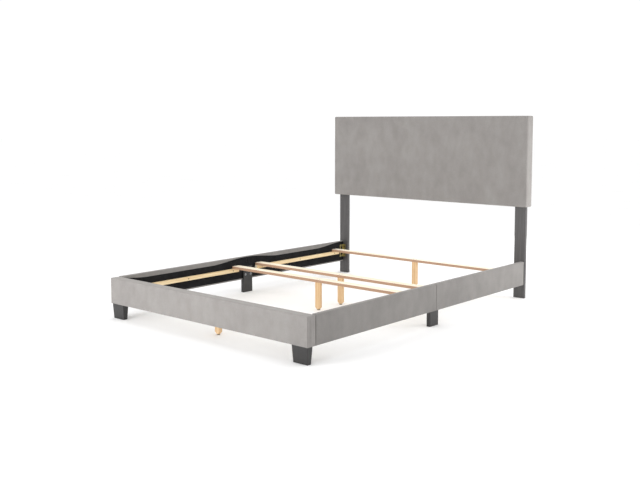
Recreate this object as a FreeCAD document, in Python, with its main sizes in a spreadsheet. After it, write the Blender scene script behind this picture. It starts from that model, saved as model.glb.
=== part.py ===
"""Upholstered headboard bed: fabric-covered headboard, footboard and side rails, four slats on ledgers.

Millimetres. +X is to the right seen from the foot, +Y runs from the foot to the head, +Z is up.
The origin is on the floor, under the middle of the bed. The foot end faces -Y.
"""

import FreeCAD, Part
import os
import re

import Sketcher

# ---------------------------------------------------------------------------
# Sizes. Each one is written once, here; every place below is worked out from them.
# ---------------------------------------------------------------------------
SIZES = {
    # the whole bed
    "bed_width": 1600,
    "rail_run": 2100,            # footboard's rear face to the posts' front face
    "rail_bottom": 90,           # height of the rails' and the footboard's underside
    "rail_height": 158,
    "fabric": 1,                 # upholstery fabric, and the lining beside it
    # side rails
    "rail_core": 24,
    "rail_pad": 5,               # foam-backed fabric on the outer face
    "return_top": 25,            # fabric turned over onto the inner face
    "return_bottom": 10,
    # footboard
    "footboard_depth": 63,
    "footboard_foam": 8,
    "footboard_edge_foam": 4,
    "footboard_board": 12,
    "batten_height": 22,
    "end_block": 60,
    "footboard_side_return": 45,
    # front feet, tapered towards the floor
    "foot_width": 107,
    "foot_depth": 38,
    "foot_inset": 9,
    "foot_taper_side": 6,
    "foot_taper_front": 5,
    "hanger_reach": 40,          # how far a hanger bolt goes into its foot
    "hanger_spacing": 60,
    # headboard
    "panel_bottom": 615,
    "panel_height": 607,
    "panel_overhang": 29.5,      # how far the panel is wider than the rails, each side
    "panel_foam": 30,
    "edge_foam": 8,
    "face_board": 12,
    "frame_member": 16,
    "panel_round": 12,
    "back_return": 25,           # fabric turned over onto the back
    "post_width": 81,
    "post_thickness": 23,
    "post_overhang": 3,
    "post_back_room": 12,        # free depth behind a post inside the panel
    # legs under the rails' middle joints
    "mid_leg_width": 84,
    "mid_leg_thickness": 26,
    "mid_leg_web": 9,            # core left behind the leg, which is let into it
    # ledgers and slats
    "ledger_thickness": 20,
    "ledger_height": 24,
    "ledger_rise": 64,           # underside of the ledger above the rail's underside
    "ledger_length": 900,
    "front_ledger_gap": 93,      # from the middle joint to the front ledger's end
    "rear_ledger_gap": 77,
    "slat_width": 60,
    "slat_thickness": 18,
    "slat_end_gap": 3,
    "slat_inset": 8,             # outer slats, in from the ledgers' outer ends
    "slat_overhang": 11,         # second slat, past the front ledger's inner end
    # legs under the slats, and their levellers
    "slat_leg_width": 40,
    "slat_leg_depth": 20,
    "slat_leg_setback": 10,
    "slat_leg_chamfer": 12,
    "slat_leg_clearance": 6,     # wood above the floor
    "glide_radius": 10,
    "glide_height": 5,
    "stem_radius": 4,
    "stem_length": 38,
    "stem_clearance": 0.5,
    "thread_clearance": 0.05,
    "stem_room": 8,              # free hole above the stem
    "insert_radius": 6,
    "insert_length": 12,
    # corner brackets
    "bracket_thickness": 2.5,
    "bracket_height": 97,
    "bracket_rise": 35,
    "bracket_rail_flange": 43,
    "bracket_end_flange": 24,
    "bracket_window_width": 20,
    "bracket_window_height": 26,
    "bracket_window_offset": 21,  # window's middle from the bracket's middle
    "bracket_window_round": 4,
    # fasteners
    "wood_screw_length": 35,
    "wood_screw_radius": 2,
    "wood_screw_head_radius": 4,
    "wood_screw_head_height": 2.5,
    "bracket_screw_length": 18,
    "bracket_screw_radius": 2.25,
    "bracket_screw_head_radius": 4.2,
    "bracket_screw_head_height": 2.4,
    "bolt_radius": 4,
    "bolt_head_radius": 7,
    "bolt_head_height": 5,
    "bolt_flange_radius": 9,
    "bolt_flange_height": 1.6,
    "tee_flange_radius": 9.5,
    "tee_flange_thickness": 1.5,
    "tee_barrel_radius": 5,
    "ledger_screw_spacing": 395,
    "leg_screw_spacing": 20,
    "mid_leg_bolt_spacing": 50,
    "mid_leg_bolt_low": 35,      # above the rail's underside
    "mid_leg_bolt_high": 75,
    "post_bolt_low": 60,         # above the panel's underside
    "post_bolt_spacing": 200,
}

doc = FreeCAD.newDocument("upholstered_bed")
sheet = doc.addObject("Spreadsheet::Sheet", "Sizes")
for row, (alias, size) in enumerate(SIZES.items(), 1):
    sheet.set(f"A{row}", alias)
    sheet.set(f"B{row}", str(size))
    sheet.setAlias(f"B{row}", alias)
doc.recompute()

# ---------------------------------------------------------------------------
# Places, as expressions of the sizes
# ---------------------------------------------------------------------------
half_width = "(bed_width / 2)"
overall = "(footboard_depth + rail_run + post_thickness + post_back_room + fabric)"
foot_front = f"(-{overall} / 2)"
foot_rear = f"({foot_front} + footboard_depth)"
seam = f"({foot_rear} + rail_run / 2)"
post_front = f"({foot_rear} + rail_run)"
post_back = f"({post_front} + post_thickness)"
panel_back = f"({overall} / 2)"
frame_back = f"({panel_back} - fabric)"

rail_top = "(rail_bottom + rail_height)"
lining_low = "(rail_bottom + return_bottom)"
lining_high = f"({rail_top} - return_top)"
core_outer = f"({half_width} - rail_pad)"
core_inner = f"({core_outer} - rail_core)"
rail_inner = f"({core_inner} - fabric)"
ledger_inner = f"({rail_inner} - ledger_thickness)"
ledger_low = "(rail_bottom + ledger_rise)"
slat_seat = f"({ledger_low} + ledger_height)"
slat_top = f"({slat_seat} + slat_thickness)"

housing_floor = f"({core_outer} - mid_leg_web)"
mid_leg_inner = f"({housing_floor} - mid_leg_thickness)"
tee_length = "mid_leg_web"
mid_leg_grip = "(mid_leg_thickness + mid_leg_web)"
post_grip = "(post_thickness + face_board)"

front_ledger = (f"({seam} - front_ledger_gap - ledger_length)", f"({seam} - front_ledger_gap)")
rear_ledger = (f"({seam} + rear_ledger_gap)", f"({seam} + rear_ledger_gap + ledger_length)")

panel_half = f"({half_width} + panel_overhang)"
panel_top = "(panel_bottom + panel_height)"
post_outer = f"({half_width} + post_overhang)"
post_inner = f"({post_outer} - post_width)"
board_half = f"({panel_half} - fabric - edge_foam)"
board_low = "(panel_bottom + fabric + edge_foam)"
board_high = f"({panel_top} - fabric - edge_foam)"
face_front = f"({post_front} - face_board)"
foam_front = f"({face_front} - panel_foam)"
panel_front = f"({foam_front} - fabric)"

footboard_board_half = f"({half_width} - fabric - footboard_edge_foam)"
footboard_board_front = f"({foot_front} + fabric + footboard_foam)"
footboard_frame_front = f"({footboard_board_front} + footboard_board)"
footboard_frame_back = f"({foot_rear} - fabric)"
footboard_low = "(rail_bottom + fabric)"
footboard_high = f"({rail_top} - fabric - footboard_edge_foam)"

# The second slat hangs past its ledger's end, the third starts with the rear ledger.
slat_starts = [
    f"({front_ledger[0]} + slat_inset)",
    f"({front_ledger[1]} + slat_overhang - slat_width)",
    rear_ledger[0],
    f"({rear_ledger[1]} - slat_inset - slat_width)",
]

SIDES = {"left": -1, "right": 1}
DOWN = FreeCAD.Rotation()
TO_RIGHT = FreeCAD.Rotation(FreeCAD.Vector(0, 1, 0), -90)
TO_LEFT = FreeCAD.Rotation(FreeCAD.Vector(0, 1, 0), 90)
TO_HEAD = FreeCAD.Rotation(FreeCAD.Vector(1, 0, 0), 90)
TO_FOOT = FreeCAD.Rotation(FreeCAD.Vector(1, 0, 0), -90)
OUTWARD = {-1: TO_LEFT, 1: TO_RIGHT}
INWARD = {-1: TO_RIGHT, 1: TO_LEFT}
AXES = ("x", "y", "z")
SAME = 1e-6  # two places this near are one

nodes = []


# ---------------------------------------------------------------------------
# Helpers
# ---------------------------------------------------------------------------
def expression(text):
    """The text with every size's name turned into its spreadsheet cell."""
    named = str(text)
    return re.sub(r"[a-z][a-z_]*", lambda word: f"Sizes.{word[0]}" if word[0] in SIZES else word[0], named)


def number(text):
    """What an expression comes to with the sizes as they are."""
    return float(sheet.evalExpression(expression(text)))


def mirrored(side, low, high):
    """A span across X on one side of the bed: low and high are distances from the middle."""
    return (low, high) if side > 0 else (f"-{high}", f"-{low}")


def bind(thing, **sizes):
    for name, text in sizes.items():
        thing.setExpression(name, expression(text))


def place(thing, where, rotation=DOWN):
    thing.Placement = FreeCAD.Placement(FreeCAD.Vector(*[number(text) for text in where]), rotation)
    for axis, text in zip(AXES, where):
        thing.setExpression(f"Placement.Base.{axis}", expression(text))


def add(kind, label):
    thing = doc.addObject(kind, label)
    thing.Label = label
    return thing


def node(thing):
    """Keeps a finished sub-part: its label names its file."""
    nodes.append(thing)
    return thing


def sketch(body, role, offset="0"):
    """An empty sketch on one of the body's own origin planes."""
    plane = next(feature for feature in body.Origin.OriginFeatures if feature.Role == role)
    drawing = body.newObject("Sketcher::SketchObject", "Sketch")
    drawing.AttachmentSupport = [(plane, "")]
    drawing.MapMode = "FlatFace"
    drawing.setExpression("AttachmentOffset.Base.z", expression(offset))
    return drawing


def fix_point(drawing, geometry, point, where):
    """Ties one point of a sketch to its two coordinates."""
    for kind, text in zip(("DistanceX", "DistanceY"), where):
        index = drawing.addConstraint(Sketcher.Constraint(kind, geometry, point, number(text)))
        drawing.setExpression(f"Constraints[{index}]", expression(text))


def draw_outline(drawing, points):
    """A closed outline of straight lines through the points."""
    corners = [FreeCAD.Vector(number(x), number(y), 0) for x, y in points]
    count = len(corners)
    first = drawing.GeometryCount
    for i in range(count):
        drawing.addGeometry(Part.LineSegment(corners[i], corners[(i + 1) % count]), False)
    for i in range(count):
        drawing.addConstraint(Sketcher.Constraint("Coincident", first + i, 2, first + (i + 1) % count, 1))
        fix_point(drawing, first + i, 1, points[i])


def draw_circle(drawing, centre, radius):
    middle = FreeCAD.Vector(number(centre[0]), number(centre[1]), 0)
    index = drawing.addGeometry(Part.Circle(middle, FreeCAD.Vector(0, 0, 1), number(radius)), False)
    fix_point(drawing, index, 3, centre)
    size = drawing.addConstraint(Sketcher.Constraint("Radius", index, number(radius)))
    drawing.setExpression(f"Constraints[{size}]", expression(radius))


def rectangle(low, high):
    return [low, (high[0], low[1]), high, (low[0], high[1])]


def pad(body, drawing, length, reverse=False):
    feature = body.newObject("PartDesign::Pad", "Pad")
    feature.Profile = drawing
    feature.Reversed = reverse
    bind(feature, Length=length)
    return feature


def pocket(body, drawing, depth, reverse=False):
    """A pocket that must take something away."""
    doc.recompute()
    before = body.Shape.Volume
    feature = body.newObject("PartDesign::Pocket", "Pocket")
    feature.Profile = drawing
    feature.Reversed = reverse
    bind(feature, Length=depth)
    doc.recompute()
    if body.Shape.Volume >= before:
        raise RuntimeError(f"a pocket of {body.Label} cuts nothing")
    return feature


def round_edges(body, radius, wanted):
    """Fillets the edges of the body's last feature whose two ends pass the test."""
    doc.recompute()
    base = body.Tip
    names = []
    for index, edge in enumerate(base.Shape.Edges, 1):
        if wanted(edge.Vertexes[0].Point, edge.Vertexes[-1].Point):
            names.append(f"Edge{index}")
    feature = body.newObject("PartDesign::Fillet", "Fillet")
    feature.Base = (base, names)
    bind(feature, Radius=radius)
    return feature


def block(label, x, y, z):
    """A sawn piece: a rectangle in plan, padded up. Each of x, y and z is its low and high place."""
    body = add("PartDesign::Body", label)
    plan = sketch(body, "XY_Plane")
    draw_outline(plan, rectangle(("0", "0"), (f"{x[1]} - {x[0]}", f"{y[1]} - {y[0]}")))
    pad(body, plan, f"{z[1]} - {z[0]}")
    place(body, (x[0], y[0], z[0]))
    return body


def room(label, x, y, z):
    """A box of space to be cut away."""
    box = add("Part::Box", label)
    bind(box, Length=f"{x[1]} - {x[0]}", Width=f"{y[1]} - {y[0]}", Height=f"{z[1]} - {z[0]}")
    place(box, (x[0], y[0], z[0]))
    return box


def group(label, things):
    """Several separate solids in one object."""
    together = add("Part::Compound", label)
    together.Links = things
    return together


def fused(label, things):
    joined = add("Part::MultiFuse", label)
    joined.Shapes = things
    return joined


def cut(label, base, *tools):
    """The base without the tools."""
    result = add("Part::Cut", label)
    result.Base = base
    result.Tool = tools[0] if len(tools) == 1 else group(f"{label}_tools", list(tools))
    return result


def cylinder(label, radius, height, low):
    rod = add("Part::Cylinder", label)
    bind(rod, Radius=radius, Height=height)
    place(rod, ("0", "0", low))
    return rod


# ---------------------------------------------------------------------------
# Fasteners. Each is made with its head's seat at z = 0 and its shank downwards, then turned and placed.
# ---------------------------------------------------------------------------
def wood_screw(label, where, rotation):
    """A countersunk wood screw: its flat head is level with the seat."""
    shank = cylinder(f"{label}_shank", "wood_screw_radius", "wood_screw_length", "-wood_screw_length")
    head = add("Part::Cone", f"{label}_head")
    bind(
        head,
        Radius1="wood_screw_radius",
        Radius2="wood_screw_head_radius",
        Height="wood_screw_head_height",
    )
    place(head, ("0", "0", "-wood_screw_head_height"))
    screw = fused(label, [shank, head])
    place(screw, where, rotation)
    return screw


def bracket_screw(label, where, rotation):
    """A pan-head screw that stands on its seat."""
    shank = cylinder(
        f"{label}_shank",
        "bracket_screw_radius",
        "bracket_screw_length + bracket_screw_head_height / 2",
        "-bracket_screw_length",
    )
    head = cylinder(f"{label}_head", "bracket_screw_head_radius", "bracket_screw_head_height", "0")
    screw = fused(label, [shank, head])
    place(screw, where, rotation)
    return screw


def frame_bolt(label, grip, where, rotation):
    """A hexagon flange bolt, as long as what it clamps."""
    shank = cylinder(f"{label}_shank", "bolt_radius", f"{grip} + bolt_flange_height", f"-{grip}")
    flange = cylinder(f"{label}_flange", "bolt_flange_radius", "bolt_flange_height", "0")
    head = add("Part::Prism", f"{label}_head")
    head.Polygon = 6
    bind(head, Circumradius="bolt_head_radius", Height="bolt_head_height")
    bolt = fused(label, [shank, flange, head])
    place(bolt, where, rotation)
    return bolt


def tee_nut(label, where, rotation):
    """A tee nut: its flange's outer face is the seat, its barrel points down to the bolt."""
    flange = cylinder(f"{label}_flange", "tee_flange_radius", "tee_flange_thickness", "-tee_flange_thickness")
    barrel = cylinder(f"{label}_barrel", "tee_barrel_radius", tee_length, f"-{tee_length}")
    thread = cylinder(f"{label}_thread", "bolt_radius", tee_length, f"-{tee_length}")
    nut = cut(label, fused(f"{label}_blank", [flange, barrel]), thread)
    place(nut, where, rotation)
    return nut


def bracket_corner(end):
    """The inner corner of a bracket at one end of the rails, and which way along Y its rail flange runs."""
    return (post_front, -1) if end == "head" else (foot_rear, 1)


bracket_middle = "(rail_bottom + bracket_rise + bracket_height / 2)"
# Screw places as shares of the flange: along it from the corner, and up from its middle.
bracket_rail_screws = [(0.5, 0.44), (0.5, -0.44), (0.24, 0), (0.76, 0)]
bracket_end_screws = [0.34, 0, -0.34]


def make_wood_screws():
    screws = []
    for side_name, side in SIDES.items():
        for half_name, ledger in (("front", front_ledger), ("rear", rear_ledger)):
            for step in (-1, 0, 1):
                where = (
                    f"{side} * {ledger_inner}",
                    f"({ledger[0]} + {ledger[1]}) / 2 + {step} * ledger_screw_spacing",
                    f"{ledger_low} + ledger_height / 2",
                )
                label = f"ledger_screw_{side_name}_{half_name}_{step + 2}"
                screws.append(wood_screw(label, where, OUTWARD[side]))
        for index, start in enumerate(slat_starts, 1):
            end_x = f"{side} * ({ledger_inner} + ledger_thickness / 2)"
            end_place = (end_x, f"{start} + slat_width / 2", slat_top)
            screws.append(wood_screw(f"slat_screw_{side_name}_{index}", end_place, DOWN))
            leg_y = f"{start} + slat_leg_setback + slat_leg_depth / 2"
            leg_place = (f"{side} * leg_screw_spacing / 2", leg_y, slat_top)
            screws.append(wood_screw(f"slat_leg_screw_{side_name}_{index}", leg_place, DOWN))
    return node(group("wood_screws", screws))


def make_bracket_screws():
    screws = []
    for side_name, side in SIDES.items():
        for end in ("head", "foot"):
            corner, way = bracket_corner(end)
            for index, (along, up) in enumerate(bracket_rail_screws, 1):
                where = (
                    f"{side} * ({rail_inner} - bracket_thickness)",
                    f"{corner} + {way} * {along} * bracket_rail_flange",
                    f"{bracket_middle} + {up} * bracket_height",
                )
                label = f"bracket_rail_screw_{side_name}_{end}_{index}"
                screws.append(bracket_screw(label, where, OUTWARD[side]))
            for index, up in enumerate(bracket_end_screws, 1):
                where = (
                    f"{side} * ({rail_inner} - bracket_end_flange / 2)",
                    f"{corner} + {way} * bracket_thickness",
                    f"{bracket_middle} + {up} * bracket_height",
                )
                label = f"bracket_end_screw_{side_name}_{end}_{index}"
                screws.append(bracket_screw(label, where, TO_HEAD if end == "head" else TO_FOOT))
    return node(group("bracket_screws", screws))


def bolt_places():
    """Each frame bolt: its label, its grip, its seat, its nut's seat, and which way each of them points."""
    places = []
    for side_name, side in SIDES.items():
        for step in (-1, 1):
            for level in ("low", "high"):
                y = f"{seam} + {step} * mid_leg_bolt_spacing / 2"
                z = f"rail_bottom + mid_leg_bolt_{level}"
                label = f"mid_leg_{side_name}_{'front' if step < 0 else 'rear'}_{level}"
                seats = (f"{side} * {mid_leg_inner}", y, z), (f"{side} * {core_outer}", y, z)
                places.append((label, mid_leg_grip, *seats, OUTWARD[side], INWARD[side]))
        for step in range(3):
            x = f"{side} * ({post_outer} - post_width / 2)"
            z = f"panel_bottom + post_bolt_low + {step} * post_bolt_spacing"
            seats = (x, post_back, z), (x, face_front, z)
            places.append((f"post_{side_name}_{step + 1}", post_grip, *seats, TO_FOOT, TO_HEAD))
    return places


def make_bolts_and_tee_nuts():
    bolts = []
    nuts = []
    for label, grip, seat, nut_seat, way, back in bolt_places():
        bolts.append(frame_bolt(f"bolt_{label}", grip, seat, way))
        nuts.append(tee_nut(f"tee_nut_{label}", nut_seat, back))
    return node(group("frame_bolts", bolts)), node(group("tee_nuts", nuts))


def make_hanger_bolts():
    """Two studs join each front foot to the footboard's bottom batten."""
    studs = []
    for side_name, side in SIDES.items():
        for step in (-1, 1):
            middle = f"({half_width} - foot_inset - foot_width / 2 + {step} * hanger_spacing / 2)"
            label = f"hanger_bolt_{side_name}_{'inner' if step < 0 else 'outer'}"
            stud = cylinder(label, "bolt_radius", "hanger_reach + fabric + batten_height", "0")
            y = f"{foot_front} + foot_inset + foot_depth / 2"
            place(stud, (f"{side} * {middle}", y, "rail_bottom - hanger_reach"))
            studs.append(stud)
    return node(group("foot_hanger_bolts", studs))


wood_screws = make_wood_screws()
bracket_screws = make_bracket_screws()
frame_bolts, tee_nuts = make_bolts_and_tee_nuts()
hanger_bolts = make_hanger_bolts()


# ---------------------------------------------------------------------------
# Headboard
# ---------------------------------------------------------------------------
def soft_panel(label, x, y, z, radius):
    """A padded block whose front edges, all round, are rounded."""
    body = block(label, x, y, z)
    round_edges(body, radius, lambda start, end: max(abs(start.y), abs(end.y)) < SAME)
    return body


def post_slots(label, z):
    """The spaces that the two posts take through the panel's underside."""
    return [
        room(f"{label}_slot_{name}", mirrored(side, post_inner, post_outer), (post_front, post_back), z)
        for name, side in SIDES.items()
    ]


def make_headboard():
    frame_y = (post_front, frame_back)
    board = block(
        "headboard_face_board_blank",
        (f"-{board_half}", board_half),
        (face_front, post_front),
        (board_low, board_high),
    )
    node(cut("headboard_face_board", board, frame_bolts, tee_nuts))

    between = (f"-{post_outer}", post_outer)
    top_z = (f"({board_high} - frame_member)", board_high)
    bottom_z = (board_low, f"({board_low} + frame_member)")
    node(block("headboard_top_rail", between, frame_y, top_z))
    bottom = block("headboard_bottom_rail_blank", between, frame_y, bottom_z)
    node(cut("headboard_bottom_rail", bottom, *post_slots("headboard_bottom_rail", bottom_z)))
    for name, side in SIDES.items():
        stile_x = mirrored(side, post_outer, board_half)
        node(block(f"headboard_stile_{name}", stile_x, frame_y, (board_low, board_high)))
        post_x = mirrored(side, post_inner, post_outer)
        post = block(f"headboard_post_{name}_blank", post_x, (post_front, post_back), ("0", top_z[0]))
        node(cut(f"headboard_post_{name}", post, frame_bolts, bracket_screws))

    foam_box = (
        (f"({panel_half} - fabric) * -1", f"({panel_half} - fabric)"),
        (foam_front, frame_back),
        ("(panel_bottom + fabric)", f"({panel_top} - fabric)"),
    )
    inside = room(
        "headboard_foam_hollow",
        (f"-{board_half}", board_half),
        (face_front, frame_back),
        (board_low, board_high),
    )
    foam = soft_panel("headboard_foam_blank", *foam_box, "panel_round - fabric")
    foam_slots = post_slots("headboard_foam", ("panel_bottom", board_low))
    node(cut("headboard_foam", foam, inside, *foam_slots))

    window = (
        (f"({panel_half} - back_return) * -1", f"({panel_half} - back_return)"),
        (frame_back, panel_back),
        ("(panel_bottom + back_return)", f"({panel_top} - back_return)"),
    )
    cover = soft_panel(
        "headboard_cover_blank",
        (f"-{panel_half}", panel_half),
        (panel_front, panel_back),
        ("panel_bottom", panel_top),
        "panel_round",
    )
    filling = soft_panel("headboard_cover_hollow", *foam_box, "panel_round - fabric")
    cover_slots = post_slots("headboard_cover", ("panel_bottom", board_low))
    opening = room("headboard_cover_window", *window)
    node(cut("headboard_cover", cover, filling, opening, *cover_slots))
    node(block("headboard_back_lining", *window))


# ---------------------------------------------------------------------------
# Footboard and its two feet
# ---------------------------------------------------------------------------
def make_footboard():
    across = (f"-{footboard_board_half}", footboard_board_half)
    frame_y = (footboard_frame_front, footboard_frame_back)
    board_y = (footboard_board_front, footboard_frame_front)
    low_z = (footboard_low, f"({footboard_low} + batten_height)")
    high_z = (f"({footboard_high} - batten_height)", footboard_high)
    node(block("footboard_face_board", across, board_y, (footboard_low, footboard_high)))
    node(block("footboard_top_batten", across, frame_y, high_z))
    bottom = block("footboard_bottom_batten_blank", across, frame_y, low_z)
    node(cut("footboard_bottom_batten", bottom, hanger_bolts))
    for name, side in SIDES.items():
        end_x = mirrored(side, f"({footboard_board_half} - end_block)", footboard_board_half)
        end = block(f"footboard_end_block_{name}_blank", end_x, frame_y, (low_z[1], high_z[0]))
        node(cut(f"footboard_end_block_{name}", end, bracket_screws))

    foam_box = (
        (f"({half_width} - fabric) * -1", f"({half_width} - fabric)"),
        (f"({foot_front} + fabric)", footboard_frame_back),
        (footboard_low, f"({rail_top} - fabric)"),
    )
    frame_space = (across, (footboard_board_front, footboard_frame_back), (footboard_low, footboard_high))
    foam = block("footboard_foam_blank", *foam_box)
    node(cut("footboard_foam", foam, room("footboard_foam_hollow", *frame_space)))

    window = (
        (f"({half_width} - footboard_side_return) * -1", f"({half_width} - footboard_side_return)"),
        (footboard_frame_back, foot_rear),
        (lining_low, lining_high),
    )
    cover = block(
        "footboard_cover_blank",
        (f"-{half_width}", half_width),
        (foot_front, foot_rear),
        ("rail_bottom", rail_top),
    )
    filling = room("footboard_cover_hollow", *foam_box)
    opening = room("footboard_cover_window", *window)
    node(cut("footboard_cover", cover, filling, opening, hanger_bolts, bracket_screws))
    lining = block("footboard_lining_blank", *window)
    node(cut("footboard_lining", lining, bracket_screws))


def make_front_foot(name, side):
    """A tapered block: a loft from the smaller foot on the floor to the larger top."""
    foot = add("PartDesign::Body", f"front_foot_{name}_blank")
    small = sketch(foot, "XY_Plane")
    bottom_low = ("foot_taper_side", "foot_taper_front")
    bottom_high = ("foot_width - foot_taper_side", "foot_depth - foot_taper_front")
    draw_outline(small, rectangle(bottom_low, bottom_high))
    large = sketch(foot, "XY_Plane", "rail_bottom")
    draw_outline(large, rectangle(("0", "0"), ("foot_width", "foot_depth")))
    loft = foot.newObject("PartDesign::AdditiveLoft", "Taper")
    loft.Profile = small
    loft.Sections = [large]
    x = mirrored(side, f"({half_width} - foot_inset - foot_width)", f"({half_width} - foot_inset)")
    place(foot, (x[0], f"{foot_front} + foot_inset", "0"))
    node(cut(f"front_foot_{name}", foot, hanger_bolts))


# ---------------------------------------------------------------------------
# Side rails: each is two halves that meet on the middle leg
# ---------------------------------------------------------------------------
def make_rail_half(side_name, side, half):
    start, end = (foot_rear, seam) if half == "front" else (seam, post_front)
    label = f"{side_name}_{half}"
    inset_y = (f"({start} + fabric)", f"({end} - fabric)")
    core_z = ("(rail_bottom + fabric)", f"({rail_top} - fabric)")
    leg_edge = f"({seam} {'-' if half == 'front' else '+'} mid_leg_width / 2)"
    leg_y = (leg_edge, seam) if half == "front" else (seam, leg_edge)
    housing = (mirrored(side, rail_inner, housing_floor), leg_y, ("rail_bottom", slat_top))

    core_x = mirrored(side, core_inner, core_outer)
    core = block(f"rail_core_{label}_blank", core_x, inset_y, core_z)
    core_housing = room(f"rail_core_{label}_housing", *housing)
    core_tools = [core_housing, wood_screws, bracket_screws, frame_bolts, tee_nuts]
    node(cut(f"rail_core_{label}", core, *core_tools))

    cover_x = mirrored(side, rail_inner, half_width)
    cover = block(f"rail_cover_{label}_blank", cover_x, (start, end), ("rail_bottom", rail_top))
    filling = room(f"rail_cover_{label}_hollow", core_x, inset_y, core_z)
    inner_skin = mirrored(side, rail_inner, core_inner)
    opening = room(f"rail_cover_{label}_window", inner_skin, (start, end), (lining_low, lining_high))
    cover_housing = room(f"rail_cover_{label}_housing", *housing)
    node(cut(f"rail_cover_{label}", cover, filling, opening, cover_housing))

    lining = block(f"rail_lining_{label}_blank", inner_skin, (start, end), (lining_low, lining_high))
    lining_housing = room(f"rail_lining_{label}_housing", *housing)
    node(cut(f"rail_lining_{label}", lining, lining_housing, wood_screws, bracket_screws))

    ledger_y = front_ledger if half == "front" else rear_ledger
    ledger_x = mirrored(side, ledger_inner, rail_inner)
    ledger = block(f"ledger_{label}_blank", ledger_x, ledger_y, (ledger_low, slat_seat))
    node(cut(f"ledger_{label}", ledger, wood_screws))


def make_mid_leg(name, side):
    leg_y = (f"({seam} - mid_leg_width / 2)", f"({seam} + mid_leg_width / 2)")
    leg_x = mirrored(side, mid_leg_inner, housing_floor)
    leg = block(f"mid_leg_{name}_blank", leg_x, leg_y, ("0", slat_top))
    node(cut(f"mid_leg_{name}", leg, frame_bolts))


def make_bracket(side_name, side, end):
    """An angle bracket in the corner between a rail's inner face and the post or the footboard."""
    corner, way = bracket_corner(end)
    body = add("PartDesign::Body", f"corner_bracket_{end}_{side_name}_blank")
    plan = sketch(body, "XY_Plane")
    outline = [
        ("0", "0"),
        ("0", "bracket_rail_flange"),
        ("-bracket_thickness", "bracket_rail_flange"),
        ("-bracket_thickness", "bracket_thickness"),
        ("-bracket_end_flange", "bracket_thickness"),
        ("-bracket_end_flange", "0"),
    ]
    draw_outline(plan, [(f"{side} * ({x})", f"{way} * ({y})") for x, y in outline])
    pad(body, plan, "bracket_height")
    holes = sketch(body, "YZ_Plane")
    window_middle = "(bracket_thickness + bracket_rail_flange) / 2"
    for step in (-1, 1):
        z = f"(bracket_height / 2 + {step} * bracket_window_offset)"
        low = (f"{way} * {window_middle} - bracket_window_width / 2", f"{z} - bracket_window_height / 2")
        high = (f"{way} * {window_middle} + bracket_window_width / 2", f"{z} + bracket_window_height / 2")
        draw_outline(holes, rectangle(low, high))
    pocket(body, holes, "bracket_thickness * 2", reverse=side < 0)
    height = number("bracket_height")

    def at_window_corner(start, end):
        through = abs(start.y - end.y) < SAME and abs(start.z - end.z) < SAME
        return through and SAME < start.z < height - SAME

    round_edges(body, "bracket_window_round", at_window_corner)
    place(body, (f"{side} * {rail_inner}", corner, "rail_bottom + bracket_rise"))
    node(cut(f"corner_bracket_{end}_{side_name}", body, bracket_screws))


# ---------------------------------------------------------------------------
# Slats, the legs under them and the levellers in those legs
# ---------------------------------------------------------------------------
def make_slat(index, start):
    reach = f"({rail_inner} - slat_end_gap)"
    slat = block(
        f"slat_{index}_blank",
        (f"-{reach}", reach),
        (start, f"({start} + slat_width)"),
        (slat_seat, slat_top),
    )
    node(cut(f"slat_{index}", slat, wood_screws))


def make_slat_leg(index, start):
    """Drawn from the front with its lower corners cut off, then bored from below for its insert nut."""
    leg = add("PartDesign::Body", f"slat_leg_{index}_blank")
    front = sketch(leg, "XZ_Plane")
    height = f"({slat_seat} - slat_leg_clearance)"
    half = "slat_leg_width / 2"
    outline = [
        (f"{half} - slat_leg_chamfer", "0"),
        (half, "slat_leg_chamfer"),
        (half, height),
        (f"-{half}", height),
        (f"-{half}", "slat_leg_chamfer"),
        (f"slat_leg_chamfer - {half}", "0"),
    ]
    draw_outline(front, outline)
    pad(leg, front, "slat_leg_depth", reverse=True)
    middle = ("0", "slat_leg_depth / 2")
    insert_hole = sketch(leg, "XY_Plane")
    draw_circle(insert_hole, middle, "insert_radius")
    pocket(leg, insert_hole, "insert_length", reverse=True)
    stem_hole = sketch(leg, "XY_Plane")
    draw_circle(stem_hole, middle, "stem_radius + stem_clearance")
    pocket(leg, stem_hole, "glide_height + stem_length + stem_room - slat_leg_clearance", reverse=True)
    place(leg, ("0", f"{start} + slat_leg_setback", "slat_leg_clearance"))
    node(cut(f"slat_leg_{index}", leg, wood_screws))


def make_leveller(index, start):
    """A glide on a stem, turned round its own axis."""
    body = add("PartDesign::Body", f"leveller_{index}")
    profile = sketch(body, "XZ_Plane")
    outline = [
        ("0", "0"),
        ("glide_radius * 0.8", "0"),
        ("glide_radius", "glide_height * 0.3"),
        ("glide_radius", "glide_height * 0.6"),
        ("stem_radius", "glide_height"),
        ("stem_radius", "glide_height + stem_length"),
        ("0", "glide_height + stem_length"),
    ]
    draw_outline(profile, outline)
    turned = body.newObject("PartDesign::Revolution", "Turned")
    turned.Profile = profile
    turned.ReferenceAxis = (profile, ["V_Axis"])
    turned.Angle = 360
    place(body, ("0", f"{start} + slat_leg_setback + slat_leg_depth / 2", "0"))
    node(body)


def make_insert_nuts():
    """Threaded sleeves in the slat legs' lower ends."""
    nuts = []
    bore = "stem_radius + thread_clearance"
    for index, start in enumerate(slat_starts, 1):
        sleeve = cylinder(f"insert_nut_{index}_blank", "insert_radius", "insert_length", "0")
        thread = cylinder(f"insert_nut_{index}_thread", bore, "insert_length", "0")
        nut = cut(f"insert_nut_{index}", sleeve, thread)
        place(nut, ("0", f"{start} + slat_leg_setback + slat_leg_depth / 2", "slat_leg_clearance"))
        nuts.append(nut)
    node(group("leveller_insert_nuts", nuts))


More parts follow.
